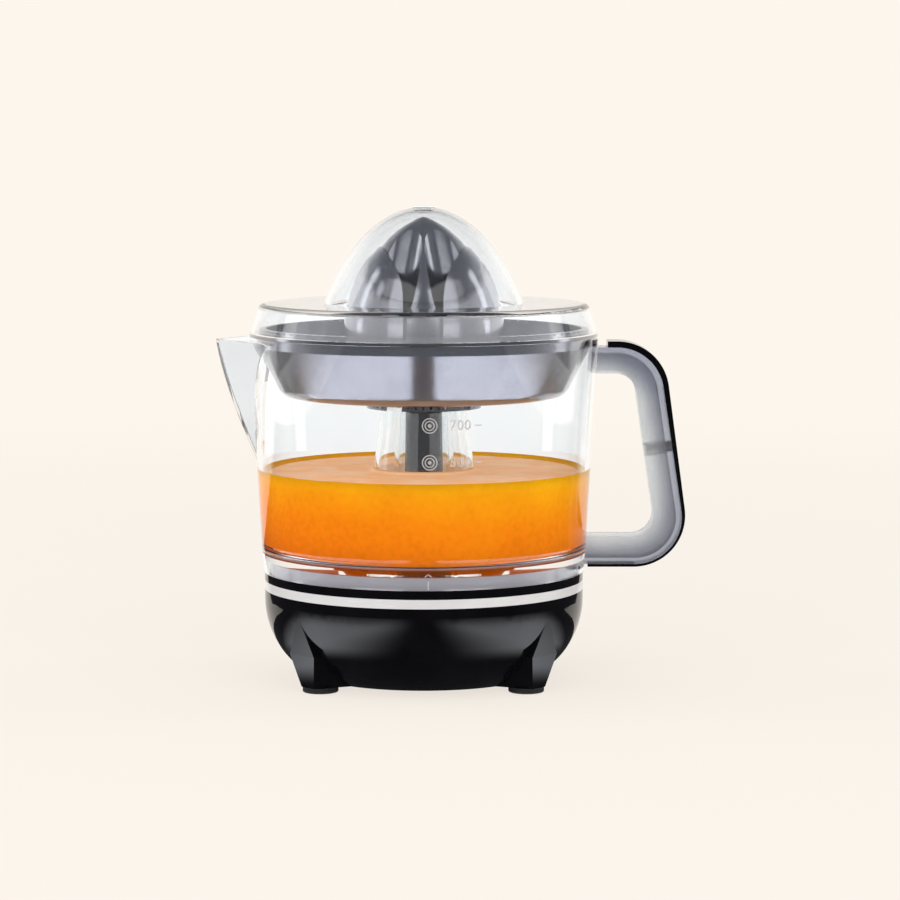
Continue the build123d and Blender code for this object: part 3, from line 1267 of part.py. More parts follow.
with BuildPart() as pulp_sieve:
    with BuildSketch(Plane.XZ):
        with BuildLine():
            Polyline(
                (chimney_bore_r, sieve_floor_z),
                (bowl_radius(sieve_floor_z, sieve_inset), sieve_floor_z),
                (sieve_neck_r, bowl_neck_z),
                (sieve_neck_r, sieve_rim_z),
                (sieve_rim_r, sieve_rim_z),
                (sieve_rim_r, sieve_rim_z + SIEVE_RIM_T),
                (sieve_neck_r - SIEVE_WALL, sieve_rim_z + SIEVE_RIM_T),
                (sieve_neck_r - SIEVE_WALL, bowl_neck_z),
                (sieve_floor_r, sieve_inside_z),
                (chimney_r, sieve_inside_z),
                (chimney_r, chimney_top),
                (chimney_bore_r, chimney_top),
                close=True,
            )
        make_face()
    revolve(axis=Axis.Z)
    with BuildSketch(Plane.XY.offset(sieve_inside_z + WALL_SLIT_RISE)):
        with PolarLocations(sieve_neck_r, WALL_SLITS):
            Rectangle(sieve_neck_r / 3, WALL_SLIT_W)
    extrude(amount=WALL_SLIT_L, mode=Mode.SUBTRACT)
    with BuildSketch(Plane.XY.offset(sieve_rim_z + SIEVE_RIM_T - RIM_NOTCH_DEPTH)):
        with PolarLocations(sieve_rim_r, RIM_NOTCHES):
            Rectangle(sieve_rim_r / 6, RIM_NOTCH_W)
    extrude(amount=RIM_NOTCH_DEPTH, mode=Mode.SUBTRACT)
    with BuildSketch(Plane.XY.offset(sieve_floor_z)):
        with PolarLocations(floor_slit_centre_r, FLOOR_SLITS):
            SlotOverall(FLOOR_SLIT_L, FLOOR_SLIT_W)
    extrude(amount=SIEVE_FLOOR_T, mode=Mode.SUBTRACT)
pulp_sieve.part.label = "pulp_sieve"
export_step(pulp_sieve.part.moved(to_frame), "parts/pulp_sieve.step")

# Reamer: bearing bush, thrust washer, stem, ridged core and the petals of the outer cone
with BuildPart() as stem_bush:
    with BuildSketch(Plane.XY.offset(bowl_floor_z)):
        Circle(stem_bush_r)
    extrude(amount=bush_flange_z - bowl_floor_z)
    with BuildSketch(Plane.XY.offset(bush_flange_z)):
        Circle(STEM_BUSH_FLANGE_R)
    extrude(amount=STEM_BUSH_FLANGE_T)
    with BuildSketch(Plane.XY.offset(bowl_floor_z)):
        Circle(STEM_TOP_R + RUN_GAP)
    extrude(amount=bush_flange_z + STEM_BUSH_FLANGE_T - bowl_floor_z, mode=Mode.SUBTRACT)
stem_bush.part.label = "stem_bush"
export_step(stem_bush.part.moved(to_frame), "parts/stem_bush.step")

with BuildPart() as thrust_washer:
    with BuildSketch(Plane.XY.offset(washer_z)):
        Circle(WASHER_R)
        Circle(STEM_TOP_R + RUN_GAP, mode=Mode.SUBTRACT)
    extrude(amount=WASHER_T)
thrust_washer.part.label = "thrust_washer"
export_step(thrust_washer.part.moved(to_frame), "parts/thrust_washer.step")

with BuildPart() as drive_stem:
    with BuildSketch(Plane.XZ):
        with BuildLine():
            Polyline(
                (0, stem_foot_z),
                (STEM_FOOT_R, stem_foot_z),
                (STEM_TOP_R, stem_journal_z),
                (STEM_TOP_R, cone_hub_z),
                (STEM_TENON_R, cone_hub_z),
                (STEM_TENON_R, cone_hub_z + STEM_TENON_L),
                (0, cone_hub_z + STEM_TENON_L),
                close=True,
            )
        make_face()
    revolve(axis=Axis.Z)
    with BuildSketch(Plane.XY.offset(stem_foot_z)):
        RegularPolygon(SPINDLE_HEX / 2 + SOCKET_GAP, 6, major_radius=False)
    extrude(amount=spindle_top_z + SEAT_GAP - stem_foot_z, mode=Mode.SUBTRACT)
drive_stem.part.label = "drive_stem"
export_step(drive_stem.part.moved(to_frame), "parts/drive_stem.step")

core_points = [
    (0, apex_z),
    (CORE_NOSE_R, apex_z - CORE_NOSE_DROP),
    (CORE_SHOULDER_R, apex_z - CORE_SHOULDER_DROP),
    (CORE_MID_R, apex_z - CORE_MID_DROP),
    (CORE_BASE_R, cone_base_z),
]
cavity_base_r = CORE_BASE_R - CORE_WALL_BASE
cavity_top_z = cone_hub_z + STEM_TENON_L
scoop_out = SCOOP_R - SCOOP_DEPTH
scoop_centre_r = CORE_MID_R + scoop_out * cos(radians(SCOOP_TILT))
scoop_centre_z = apex_z - CORE_MID_DROP + scoop_out * sin(radians(SCOOP_TILT))

with BuildPart() as reamer_core:
    with BuildSketch(Plane.XZ):
        with BuildLine():
            Spline(*core_points, tangents=[(1, -0.35), (0, -1)])
            Polyline((CORE_BASE_R, cone_base_z), (0, cone_base_z), (0, apex_z))
        make_face()
    revolve(axis=Axis.Z)
    for ridge in (90, -90):
        for side in (SCOOP_ANGLE, -SCOOP_ANGLE):
            scoop_x, scoop_y = ring_point(1, ridge + side)
            scoop_lean = sin(radians(SCOOP_TILT))
            scoop_axis = (-scoop_x * scoop_lean, -scoop_y * scoop_lean, cos(radians(SCOOP_TILT)))
            scoop_centre = (scoop_x * scoop_centre_r, scoop_y * scoop_centre_r, scoop_centre_z)
            with BuildSketch(Plane(scoop_centre, z_dir=scoop_axis)):
                Circle(SCOOP_R)
            extrude(amount=SCOOP_L / 2, both=True, mode=Mode.SUBTRACT)
    with BuildSketch(Plane.XZ):
        with BuildLine():
            Polyline(
                (0, cone_base_z),
                (cavity_base_r, cone_base_z),
                (cavity_base_r - CORE_WALL_BASE / 2, cone_hub_z),
                (HUB_R + CORE_WALL_BASE, cavity_top_z),
                (HUB_R, cavity_top_z),
                (HUB_R, cone_hub_z),
                (STEM_TENON_R, cone_hub_z),
                (STEM_TENON_R, cone_hub_z + STEM_TENON_L),
                (0, cone_hub_z + STEM_TENON_L),
                close=True,
            )
        make_face()
    revolve(axis=Axis.Z, mode=Mode.SUBTRACT)
reamer_core.part.label = "reamer_core"
export_step(reamer_core.part.moved(to_frame), "parts/reamer_core.step")

tip_r = CORE_SHOULDER_R + CONE_GAP + OUTER_TIP_T
tip_z = apex_z - OUTER_TIP_DROP
sill_z = cone_base_z + WINDOW_SILL
window_mid_z = (sill_z + tip_z) / 2

with BuildPart() as outer_cone:
    with BuildSketch(Plane.XZ):
        with BuildLine():
            Spline(
                (tip_r, tip_z),
                (OUTER_MID_R, apex_z - CORE_MID_DROP),
                (OUTER_BASE_R, cone_base_z),
                tangents=[(1, -0.8), (0, -1)],
            )
            Polyline((OUTER_BASE_R, cone_base_z), (0, cone_base_z), (0, tip_z), (tip_r, tip_z))
        make_face()
    revolve(axis=Axis.Z)
    with BuildSketch(Plane.XZ):
        with BuildLine():
            Spline(*[(r + CONE_GAP, z) for r, z in core_points], tangents=[(1, -0.35), (0, -1)])
            Polyline(
                (CORE_BASE_R + CONE_GAP, cone_base_z), (0, cone_base_z), (0, apex_z), (CONE_GAP, apex_z)
            )
        make_face()
    revolve(axis=Axis.Z, mode=Mode.SUBTRACT)
    with BuildSketch(Plane.XZ):
        with BuildLine():
            seam = Spline(
                (WINDOW_HALF_W, window_mid_z),
                (WINDOW_TOP_HALF_W, tip_z),
                tangents=[(0, 1), (1, 1)],
            )
            mirror(seam, about=Plane.YZ)
            Polyline((WINDOW_TOP_HALF_W, tip_z), (WINDOW_TOP_HALF_W, apex_z), (-WINDOW_TOP_HALF_W, apex_z))
            Line((-WINDOW_TOP_HALF_W, apex_z), (-WINDOW_TOP_HALF_W, tip_z))
            Polyline(
                (-WINDOW_HALF_W, window_mid_z),
                (-WINDOW_HALF_W, sill_z),
                (WINDOW_HALF_W, sill_z),
                (WINDOW_HALF_W, window_mid_z),
            )
        make_face()
    extrude(amount=OUTER_BASE_R, both=True, mode=Mode.SUBTRACT)
outer_cone.part.label = "outer_cone"
export_step(outer_cone.part.moved(to_frame), "parts/outer_cone.step")

# Lid: sloped skirt, flat flange and an elliptical dome with a gate disc on top
dome_z = dome_top_z - DOME_HALF_H
skirt_slope = (lid_skirt_r - lid_top_r) / LID_H
lid_under = lid_top - LID_T
dome_start = degrees(acos(sqrt(1 - ((lid_top - dome_z) / DOME_HALF_H) ** 2)))
dome_start_in = degrees(acos(sqrt(1 - ((lid_under - dome_z) / (DOME_HALF_H - LID_T)) ** 2)))
dome_foot_r = DOME_HALF_W * cos(radians(dome_start))
dome_foot_in_r = (DOME_HALF_W - LID_T) * cos(radians(dome_start_in))

with BuildPart() as lid:
    with BuildSketch(Plane.XZ):
        with BuildLine():
            FilletPolyline(
                (lid_skirt_r, lid_z), (lid_top_r, lid_top), (dome_foot_r, lid_top), radius=LID_CORNER_R
            )
            EllipticalCenterArc((0, dome_z), DOME_HALF_W, DOME_HALF_H, dome_start, arc_size=90 - dome_start)
            Line((0, dome_top_z), (0, dome_top_z - LID_T))
            EllipticalCenterArc(
                (0, dome_z),
                DOME_HALF_W - LID_T,
                DOME_HALF_H - LID_T,
                dome_start_in,
                arc_size=90 - dome_start_in,
            )
            FilletPolyline(
                (dome_foot_in_r, lid_under),
                (lid_top_r + skirt_slope * LID_T - LID_T, lid_under),
                (lid_skirt_r - LID_T, lid_z),
                radius=LID_CORNER_R - LID_T,
            )
            Line((lid_skirt_r - LID_T, lid_z), (lid_skirt_r, lid_z))
        make_face()
    revolve(axis=Axis.Z)
    with BuildSketch(Plane.XY.offset(dome_top_z - LID_T / 2)):
        Circle(GATE_R)
    extrude(amount=LID_T / 2 + GATE_H)
lid.part.label = "lid"
export_step(lid.part.moved(to_frame), "parts/lid.step")
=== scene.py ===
"""Looks of a citrus press juicer: finishes for every moulded and turned piece, the juice in the jug,
the relief marks on its front wall, and a plain studio round it. Metres, +Z up, spout to -X.
"""

import json
import math
import random

import bmesh
import bpy
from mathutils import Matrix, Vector


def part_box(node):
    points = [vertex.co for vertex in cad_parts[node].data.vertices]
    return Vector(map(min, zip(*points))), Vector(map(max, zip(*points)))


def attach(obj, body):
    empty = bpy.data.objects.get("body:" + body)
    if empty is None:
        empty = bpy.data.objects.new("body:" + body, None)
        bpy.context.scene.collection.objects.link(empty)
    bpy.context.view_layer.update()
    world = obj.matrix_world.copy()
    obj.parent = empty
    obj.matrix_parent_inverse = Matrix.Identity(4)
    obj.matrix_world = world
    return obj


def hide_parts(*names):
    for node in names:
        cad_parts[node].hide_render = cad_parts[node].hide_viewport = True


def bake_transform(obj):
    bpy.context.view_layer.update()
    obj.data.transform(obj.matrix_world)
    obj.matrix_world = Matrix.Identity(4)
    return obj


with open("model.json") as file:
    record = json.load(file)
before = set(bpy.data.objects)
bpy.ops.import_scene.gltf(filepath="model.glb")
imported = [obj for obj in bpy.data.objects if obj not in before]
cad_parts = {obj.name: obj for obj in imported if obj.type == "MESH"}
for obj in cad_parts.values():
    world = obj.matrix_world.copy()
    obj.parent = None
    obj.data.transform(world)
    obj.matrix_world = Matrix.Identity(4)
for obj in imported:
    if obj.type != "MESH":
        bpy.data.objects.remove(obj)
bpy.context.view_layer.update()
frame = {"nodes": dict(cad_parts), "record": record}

scene = bpy.context.scene
scene.view_settings.view_transform = "Standard"

ring_low, ring_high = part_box("trim_ring")
AXIS_X = (ring_low[0] + ring_high[0]) / 2
jug_low, jug_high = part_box("jug")
JUG_FOOT_Z = jug_low[2]
JUG_RIM_Z = jug_high[2]
JUG_FOOT_R = 0.0659
JUG_RIM_R = 0.0714
JUG_WALL = 0.0022
JUG_INSIDE_Z = 0.0524
FLOOR_FILLET = 0.005
POST_FOOT_R = 0.0252
POST_FOOT_Z = 0.0504
POST_TOP_R = 0.0170
POST_TOP_Z = 0.1154
handle_low, handle_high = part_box("jug_handle")
HANDLE_EYE_X = 0.0469  # middle of the handle's opening
HANDLE_EYE_Z = (handle_high[2] + handle_low[2]) / 2
HANDLE_RIM_R = (handle_high[2] - handle_low[2]) / 2  # from there to the outer rim
HANDLE_EYE_R = HANDLE_RIM_R - 0.012  # and to the opening's edge
HANDLE_LEAN = 0.14  # of the handle's outer line towards the jug, per height
JUICE_Z = 0.0860
JUICE_CURL = 0.0014  # how far the juice's edge climbs up the wall and the post
WETTING = 0.00012  # how far the juice reaches into the surface of the plastic that it wets
FLOOR_FILM = 0.00015  # air left under the juice, so that the jug's floor guides light
UPPER_MARK_Z = 0.1106
LOWER_MARK_Z = 0.0961
MARK_X = 0.0028  # of the round marks, from the reamer's axis
MARK_OUT = 0.00022  # of the relief over the jug's wall
MARK_ROOT = 0.0001  # of the relief in the jug's wall


def jug_radius(z, inset=0.0):
    """Outer radius of the jug's wall at a height, less an inset."""
    share = (z - JUG_FOOT_Z) / (JUG_RIM_Z - JUG_FOOT_Z)
    return JUG_FOOT_R + share * (JUG_RIM_R - JUG_FOOT_R) - inset


def post_radius(z):
    """Outer radius of the jug's hollow post at a height."""
    share = (z - POST_FOOT_Z) / (POST_TOP_Z - POST_FOOT_Z)
    return POST_FOOT_R + share * (POST_TOP_R - POST_FOOT_R)


# Shader nodes, and groups of them that several finishes share


def add_node(tree, kind, **settings):
    """A new shader node of a kind, with its settings."""
    node = tree.nodes.new("ShaderNode" + kind)
    for label, value in settings.items():
        setattr(node, label, value)
    return node


def add_range(tree, start, end, low=0.0, high=1.0, **settings):
    """A node that maps the values from start to end on those from low to high."""
    node = add_node(tree, "MapRange", **settings)
    for label, value in (("From Min", start), ("From Max", end), ("To Min", low), ("To Max", high)):
        node.inputs[label].default_value = value
    return node


def start_group(name, inputs, outputs):
    """An empty shader group with named sockets, and its two end nodes."""
    group = bpy.data.node_groups.new(name, "ShaderNodeTree")
    for label, kind, value in inputs:
        socket = group.interface.new_socket(label, in_out="INPUT", socket_type=kind)
        if value is not None:
            socket.default_value = value
    for label, kind in outputs:
        group.interface.new_socket(label, in_out="OUTPUT", socket_type=kind)
    entry = group.nodes.new("NodeGroupInput")
    leave = group.nodes.new("NodeGroupOutput")
    return group, entry, leave


def make_tone_shift():
    """Colour that drifts a little over the surface, as moulded and plated pieces do."""
    group, entry, leave = start_group(
        "tone_shift",
        [
            ("Vector", "NodeSocketVector", None),
            ("Colour", "NodeSocketColor", (0.5, 0.5, 0.5, 1)),
            ("Second Colour", "NodeSocketColor", (0.4, 0.4, 0.4, 1)),
            ("Scale", "NodeSocketFloat", 60.0),
        ],
        [("Colour", "NodeSocketColor")],
    )
    clouds = add_node(group, "TexNoise")
    clouds.inputs["Detail"].default_value = 4.0
    clouds.inputs["Roughness"].default_value = 0.6
    spread = add_range(group, 0.35, 0.65)
    blend = add_node(group, "Mix", data_type="RGBA")
    group.links.new(entry.outputs["Vector"], clouds.inputs["Vector"])
    group.links.new(entry.outputs["Scale"], clouds.inputs["Scale"])
    group.links.new(clouds.outputs["Fac"], spread.inputs["Value"])
    group.links.new(spread.outputs["Result"], blend.inputs["Factor"])
    group.links.new(entry.outputs["Colour"], blend.inputs["A"])
    group.links.new(entry.outputs["Second Colour"], blend.inputs["B"])
    group.links.new(blend.outputs["Result"], leave.inputs["Colour"])
    return group


def make_handling_marks():
    """Roughness between two values: broad smears from hands and cloths, with fine scuffs in them."""
    group, entry, leave = start_group(
        "handling_marks",
        [
            ("Vector", "NodeSocketVector", None),
            ("Low", "NodeSocketFloat", 0.1),
            ("High", "NodeSocketFloat", 0.2),
            ("Scale", "NodeSocketFloat", 40.0),
        ],
        [("Roughness", "NodeSocketFloat")],
    )
    smears = add_node(group, "TexNoise")
    smears.inputs["Detail"].default_value = 3.0
    smears.inputs["Distortion"].default_value = 0.8
    finer = add_node(group, "Math", operation="MULTIPLY")
    finer.inputs[1].default_value = 14.0
    scuffs = add_node(group, "TexNoise")
    scuffs.inputs["Detail"].default_value = 6.0
    scuffs.inputs["Roughness"].default_value = 0.7
    both = add_node(group, "Math", operation="MULTIPLY_ADD")
    both.inputs[1].default_value = 0.35
    span = add_range(group, 0.45, 0.9)
    group.links.new(entry.outputs["Vector"], smears.inputs["Vector"])
    group.links.new(entry.outputs["Scale"], smears.inputs["Scale"])
    group.links.new(entry.outputs["Scale"], finer.inputs[0])
    group.links.new(entry.outputs["Vector"], scuffs.inputs["Vector"])
    group.links.new(finer.outputs["Value"], scuffs.inputs["Scale"])
    group.links.new(scuffs.outputs["Fac"], both.inputs[0])
    group.links.new(smears.outputs["Fac"], both.inputs[2])
    group.links.new(both.outputs["Value"], span.inputs["Value"])
    group.links.new(entry.outputs["Low"], span.inputs["To Min"])
    group.links.new(entry.outputs["High"], span.inputs["To Max"])
    group.links.new(span.outputs["Result"], leave.inputs["Roughness"])
    return group


def make_moulded_skin():
    """Height of a moulded surface: a slow ripple with a fine grain on it."""
    group, entry, leave = start_group(
        "moulded_skin",
        [
            ("Vector", "NodeSocketVector", None),
            ("Grain Scale", "NodeSocketFloat", 1500.0),
            ("Grain", "NodeSocketFloat", 0.5),
        ],
        [("Height", "NodeSocketFloat")],
    )
    ripple = add_node(group, "TexNoise")
    ripple.inputs["Scale"].default_value = 70.0
    ripple.inputs["Detail"].default_value = 1.0
    grain = add_node(group, "TexVoronoi", feature="SMOOTH_F1")
    mix = add_node(group, "Math", operation="MULTIPLY_ADD")
    group.links.new(entry.outputs["Vector"], ripple.inputs["Vector"])
    group.links.new(entry.outputs["Vector"], grain.inputs["Vector"])
    group.links.new(entry.outputs["Grain Scale"], grain.inputs["Scale"])
    group.links.new(grain.outputs["Distance"], mix.inputs[0])
    group.links.new(entry.outputs["Grain"], mix.inputs[1])
    group.links.new(ripple.outputs["Fac"], mix.inputs[2])
    group.links.new(mix.outputs["Value"], leave.inputs["Height"])
    return group


def make_turning_lines():
    """Mask of fine lines round an upright axis, as a lathe, a brush or a winding leaves."""
    group, entry, leave = start_group(
        "turning_lines",
        [("Vector", "NodeSocketVector", None), ("Lines per Metre", "NodeSocketFloat", 4000.0)],
        [("Mask", "NodeSocketFloat")],
    )
    split = add_node(group, "SeparateXYZ")
    stretch = add_node(group, "Math", operation="MULTIPLY")
    join = add_node(group, "CombineXYZ")
    lines = add_node(group, "TexNoise")
    lines.inputs["Scale"].default_value = 1.0
    lines.inputs["Detail"].default_value = 3.0
    slow = add_node(group, "VectorMath", operation="SCALE")
    slow.inputs["Scale"].default_value = 60.0
    apart = add_node(group, "SeparateXYZ")
    group.links.new(entry.outputs["Vector"], split.inputs["Vector"])
    group.links.new(split.outputs["Z"], stretch.inputs[0])
    group.links.new(entry.outputs["Lines per Metre"], stretch.inputs[1])
    group.links.new(entry.outputs["Vector"], slow.inputs["Vector"])
    group.links.new(slow.outputs["Vector"], apart.inputs["Vector"])
    group.links.new(apart.outputs["X"], join.inputs["X"])
    group.links.new(apart.outputs["Y"], join.inputs["Y"])
    group.links.new(stretch.outputs["Value"], join.inputs["Z"])
    group.links.new(join.outputs["Vector"], lines.inputs["Vector"])
    group.links.new(lines.outputs["Fac"], leave.inputs["Mask"])
    return group


tone_shift = make_tone_shift()
handling_marks = make_handling_marks()
moulded_skin = make_moulded_skin()
turning_lines = make_turning_lines()


# Finishes


def start_finish(name):
    """A new material with its shader and the place on the object that its textures follow."""
    material = bpy.data.materials.new(name)
    material.use_nodes = True
    tree = material.node_tree
    shader = tree.nodes["Principled BSDF"]
    place = add_node(tree, "TexCoord")
    return material, tree, shader, place.outputs["Object"]


def place_group(tree, group, place, **values):
    """Puts a shared group into a material with its own values."""
    holder = add_node(tree, "Group", node_tree=group)
    tree.links.new(place, holder.inputs["Vector"])
    for label, value in values.items():
        holder.inputs[label.replace("_", " ")].default_value = value
    return holder


def drift_colour(tree, place, colour, second, scale=60.0):
    """A colour that drifts to a second one over the surface."""
    tones = {"Colour": (*colour, 1), "Second_Colour": (*second, 1)}
    return place_group(tree, tone_shift, place, Scale=scale, **tones).outputs["Colour"]


def add_relief(tree, shader, height, depth):
    """Bump from a height, with a depth in metres."""
    bump = add_node(tree, "Bump")
    bump.inputs["Strength"].default_value = 1.0
    bump.inputs["Distance"].default_value = depth
    tree.links.new(height, bump.inputs["Height"])
    tree.links.new(bump.outputs["Normal"], shader.inputs["Normal"])


def moulded(
    name, colour, second, low, high, grain=0.5, grain_scale=1500.0, depth=0.00002, metallic=0.0, coat=0.0
):
    """A moulded or coated piece: drifting colour, handled gloss and a moulded skin."""
    material, tree, shader, place = start_finish(name)
    tone = drift_colour(tree, place, colour, second)
    marks = place_group(tree, handling_marks, place, Low=low, High=high)
    skin = place_group(tree, moulded_skin, place, Grain=grain, Grain_Scale=grain_scale)
    tree.links.new(tone, shader.inputs["Base Color"])
    tree.links.new(marks.outputs["Roughness"], shader.inputs["Roughness"])
    add_relief(tree, shader, skin.outputs["Height"], depth)
    shader.inputs["Metallic"].default_value = metallic
    shader.inputs["Coat Weight"].default_value = coat
    shader.inputs["Coat Roughness"].default_value = 0.05
    return material, tree, shader


def turned(name, colour, second, low, high, lines, depth, metallic):
    """A metal piece with fine lines round it."""
    material, tree, shader, place = start_finish(name)
    tone = drift_colour(tree, place, colour, second, 120.0)
    mask = place_group(tree, turning_lines, place, Lines_per_Metre=lines)
    span = add_range(tree, 0.3, 0.7, low=low, high=high)
    tree.links.new(mask.outputs["Mask"], span.inputs["Value"])
    tree.links.new(span.outputs["Result"], shader.inputs["Roughness"])
    tree.links.new(tone, shader.inputs["Base Color"])
    add_relief(tree, shader, mask.outputs["Mask"], depth)
    shader.inputs["Metallic"].default_value = metallic
    return material


def let_light_through(tree, shader, share):
    """Lets a share of the lamps' light pass a clear piece, and lets out light that is caught in its walls."""
    most_bounces_in_wall = 2.5
    path = add_node(tree, "LightPath")
    clear = add_node(tree, "BsdfTransparent")
    amount = add_node(tree, "Math", operation="MULTIPLY")
    amount.inputs[1].default_value = share
    caught = add_node(tree, "Math", operation="GREATER_THAN")
    caught.inputs[1].default_value = most_bounces_in_wall
    either = add_node(tree, "Math", operation="MAXIMUM")
    pick = add_node(tree, "MixShader")
    tree.links.new(path.outputs["Is Shadow Ray"], amount.inputs[0])
    tree.links.new(path.outputs["Glossy Depth"], caught.inputs[0])
    tree.links.new(amount.outputs["Value"], either.inputs[0])
    tree.links.new(caught.outputs["Value"], either.inputs[1])
    tree.links.new(either.outputs["Value"], pick.inputs["Fac"])
    tree.links.new(shader.outputs["BSDF"], pick.inputs[1])
    tree.links.new(clear.outputs["BSDF"], pick.inputs[2])
    tree.links.new(pick.outputs["Shader"], tree.nodes["Material Output"].inputs["Surface"])


def clear_plastic():
    """Clear styrene of the jug and the lid, with a slight cool tint: polished, with a few faint smears."""
    material, tree, shader = moulded(
        "clear_plastic", (0.974, 0.988, 0.988), (0.988, 0.995, 0.995), -0.2, 0.03, grain=0.05, depth=0.000002
    )
    shader.inputs["Transmission Weight"].default_value = 1.0
    shader.inputs["IOR"].default_value = 1.49
    let_light_through(tree, shader, 1.0)
    return material


def paint_shade_to_rim(tree, cloud):
    """Colour of the handle's channel: pale at its opening, with painted shade that darkens it towards its
    outer rim.
    """
    place = add_node(tree, "TexCoord")
    offset = add_node(tree, "VectorMath", operation="SUBTRACT")
    offset.inputs[1].default_value = (HANDLE_EYE_X, 0, HANDLE_EYE_Z)
    split = add_node(tree, "SeparateXYZ")
    upright = add_node(tree, "Math", operation="MULTIPLY_ADD")
    upright.inputs[1].default_value = HANDLE_LEAN
    flat = add_node(tree, "CombineXYZ")
    square = add_node(tree, "VectorMath", operation="MULTIPLY")
    reach = add_node(tree, "VectorMath", operation="LENGTH")
    rim = add_range(tree, HANDLE_EYE_R**2, HANDLE_RIM_R**2, interpolation_type="SMOOTHSTEP")
    # painted shade: the channel's colour is multiplied down to this grey towards its outer rim
    rim_shade = add_node(tree, "Mix", data_type="RGBA")
    rim_shade.inputs["A"].default_value = (0.95, 0.97, 0.97, 1)
    rim_shade.inputs["B"].default_value = (0.44, 0.455, 0.52, 1)
    shade = add_node(tree, "Mix", data_type="RGBA", blend_type="MULTIPLY")
    shade.inputs["Factor"].default_value = 1.0
    tree.links.new(place.outputs["Object"], offset.inputs[0])
    tree.links.new(offset.outputs["Vector"], split.inputs["Vector"])
    tree.links.new(split.outputs["Z"], upright.inputs[0])
    tree.links.new(split.outputs["X"], upright.inputs[2])
    tree.links.new(upright.outputs["Value"], flat.inputs["X"])
    tree.links.new(split.outputs["Z"], flat.inputs["Z"])
    tree.links.new(flat.outputs["Vector"], square.inputs[0])
    tree.links.new(flat.outputs["Vector"], square.inputs[1])
    tree.links.new(square.outputs["Vector"], reach.inputs[0])
    tree.links.new(reach.outputs["Value"], rim.inputs["Value"])
    tree.links.new(rim.outputs["Result"], rim_shade.inputs["Factor"])
    tree.links.new(cloud, shade.inputs["A"])
    tree.links.new(rim_shade.outputs["Result"], shade.inputs["B"])
    return shade.outputs["Result"]


def frosted_plastic():
    """Clear styrene with an etched inside, as on the handle's channel, with painted shade towards the
    channel's outer rim.
    """
    material, tree, shader = moulded(
        "frosted_plastic", (0.92, 0.925, 0.93), (1.0, 1.0, 1.0), 0.12, 0.26, grain=0.6, depth=0.00004
    )
    cloud = shader.inputs["Base Color"].links[0].from_socket
    tree.links.new(paint_shade_to_rim(tree, cloud), shader.inputs["Base Color"])
    shader.inputs["Transmission Weight"].default_value = 0.82
    shader.inputs["IOR"].default_value = 1.49
    let_light_through(tree, shader, 0.7)
    return material


def lacquered(name, colour, second, metallic):
    """Plastic under a metallic lacquer, glossy under a clear coat."""
    gloss = {"grain": 0.25, "grain_scale": 2600.0, "depth": 0.000006, "coat": 0.3}
    return moulded(name, colour, second, 0.12, 0.20, metallic=metallic, **gloss)[0]


def black_plastic():
    """Deep gloss black of the base and the grip."""
    dark, darkest = (0.004, 0.0038, 0.005), (0.0022, 0.0020, 0.0028)
    material, _, shader = moulded("black_plastic", darkest, dark, 0.03, 0.09, grain=0.08, depth=0.000005)
    shader.inputs["Specular IOR Level"].default_value = 0.42
    return material


def make_finishes():
    """Every finish, by the name of the slot that it goes into."""
    made = {}
    made["clear_plastic"] = clear_plastic()
    made["frosted_plastic"] = frosted_plastic()
    made["black_plastic"] = black_plastic()
    for name, colour, second, metallic in (
        ("graphite_plastic", (0.285, 0.292, 0.335), (0.315, 0.322, 0.365), 0.82),
        ("silver_plastic", (0.66, 0.67, 0.74), (0.70, 0.71, 0.78), 0.35),
    ):
        made[name] = lacquered(name, colour, second, metallic)
    for name, colour, second, low, high, depth in (
        ("dark_nylon", (0.034, 0.037, 0.050), (0.044, 0.047, 0.060), 0.18, 0.32, 0.00002),
        ("matt_black_plastic", (0.012, 0.012, 0.013), (0.02, 0.02, 0.021), 0.5, 0.66, 0.0001),
        ("foot_rubber", (0.010, 0.010, 0.010), (0.018, 0.018, 0.018), 0.55, 0.8, 0.00012),
        ("seal_rubber", (0.014, 0.014, 0.015), (0.024, 0.024, 0.025), 0.5, 0.75, 0.0001),
        ("white_nylon", (0.78, 0.77, 0.72), (0.70, 0.69, 0.64), 0.3, 0.48, 0.00002),
        ("red_plastic", (0.42, 0.03, 0.025), (0.34, 0.022, 0.02), 0.25, 0.4, 0.00002),
        ("ferrite", (0.035, 0.035, 0.038), (0.055, 0.055, 0.058), 0.55, 0.72, 0.00008),
    ):
        made[name] = moulded(name, colour, second, low, high, depth=depth)[0]
    for name, colour, second, low, high, lines, depth, metallic in (
        ("silver_trim", (0.90, 0.90, 0.91), (0.94, 0.94, 0.94), 0.16, 0.28, 5200.0, 0.000006, 0.25),
        ("steel", (0.56, 0.56, 0.57), (0.64, 0.64, 0.65), 0.22, 0.36, 4000.0, 0.00001, 1.0),
        ("bronze", (0.52, 0.33, 0.13), (0.60, 0.40, 0.18), 0.32, 0.5, 4000.0, 0.00001, 1.0),
        ("zinc_plate", (0.50, 0.52, 0.55), (0.60, 0.61, 0.62), 0.34, 0.5, 1500.0, 0.00001, 1.0),
        ("copper", (0.50, 0.17, 0.06), (0.60, 0.24, 0.10), 0.25, 0.42, 2600.0, 0.00015, 1.0),
    ):
        made[name] = turned(name, colour, second, low, high, lines, depth, metallic)
    return made


finishes = make_finishes()
slot_of = {}
for piece in frame["record"]["subparts"]:
    slot_of[piece["node"]] = piece["material_slot"]
for name, node in frame["nodes"].items():
    for holder in node.material_slots:
        holder.material = finishes[slot_of[name]]


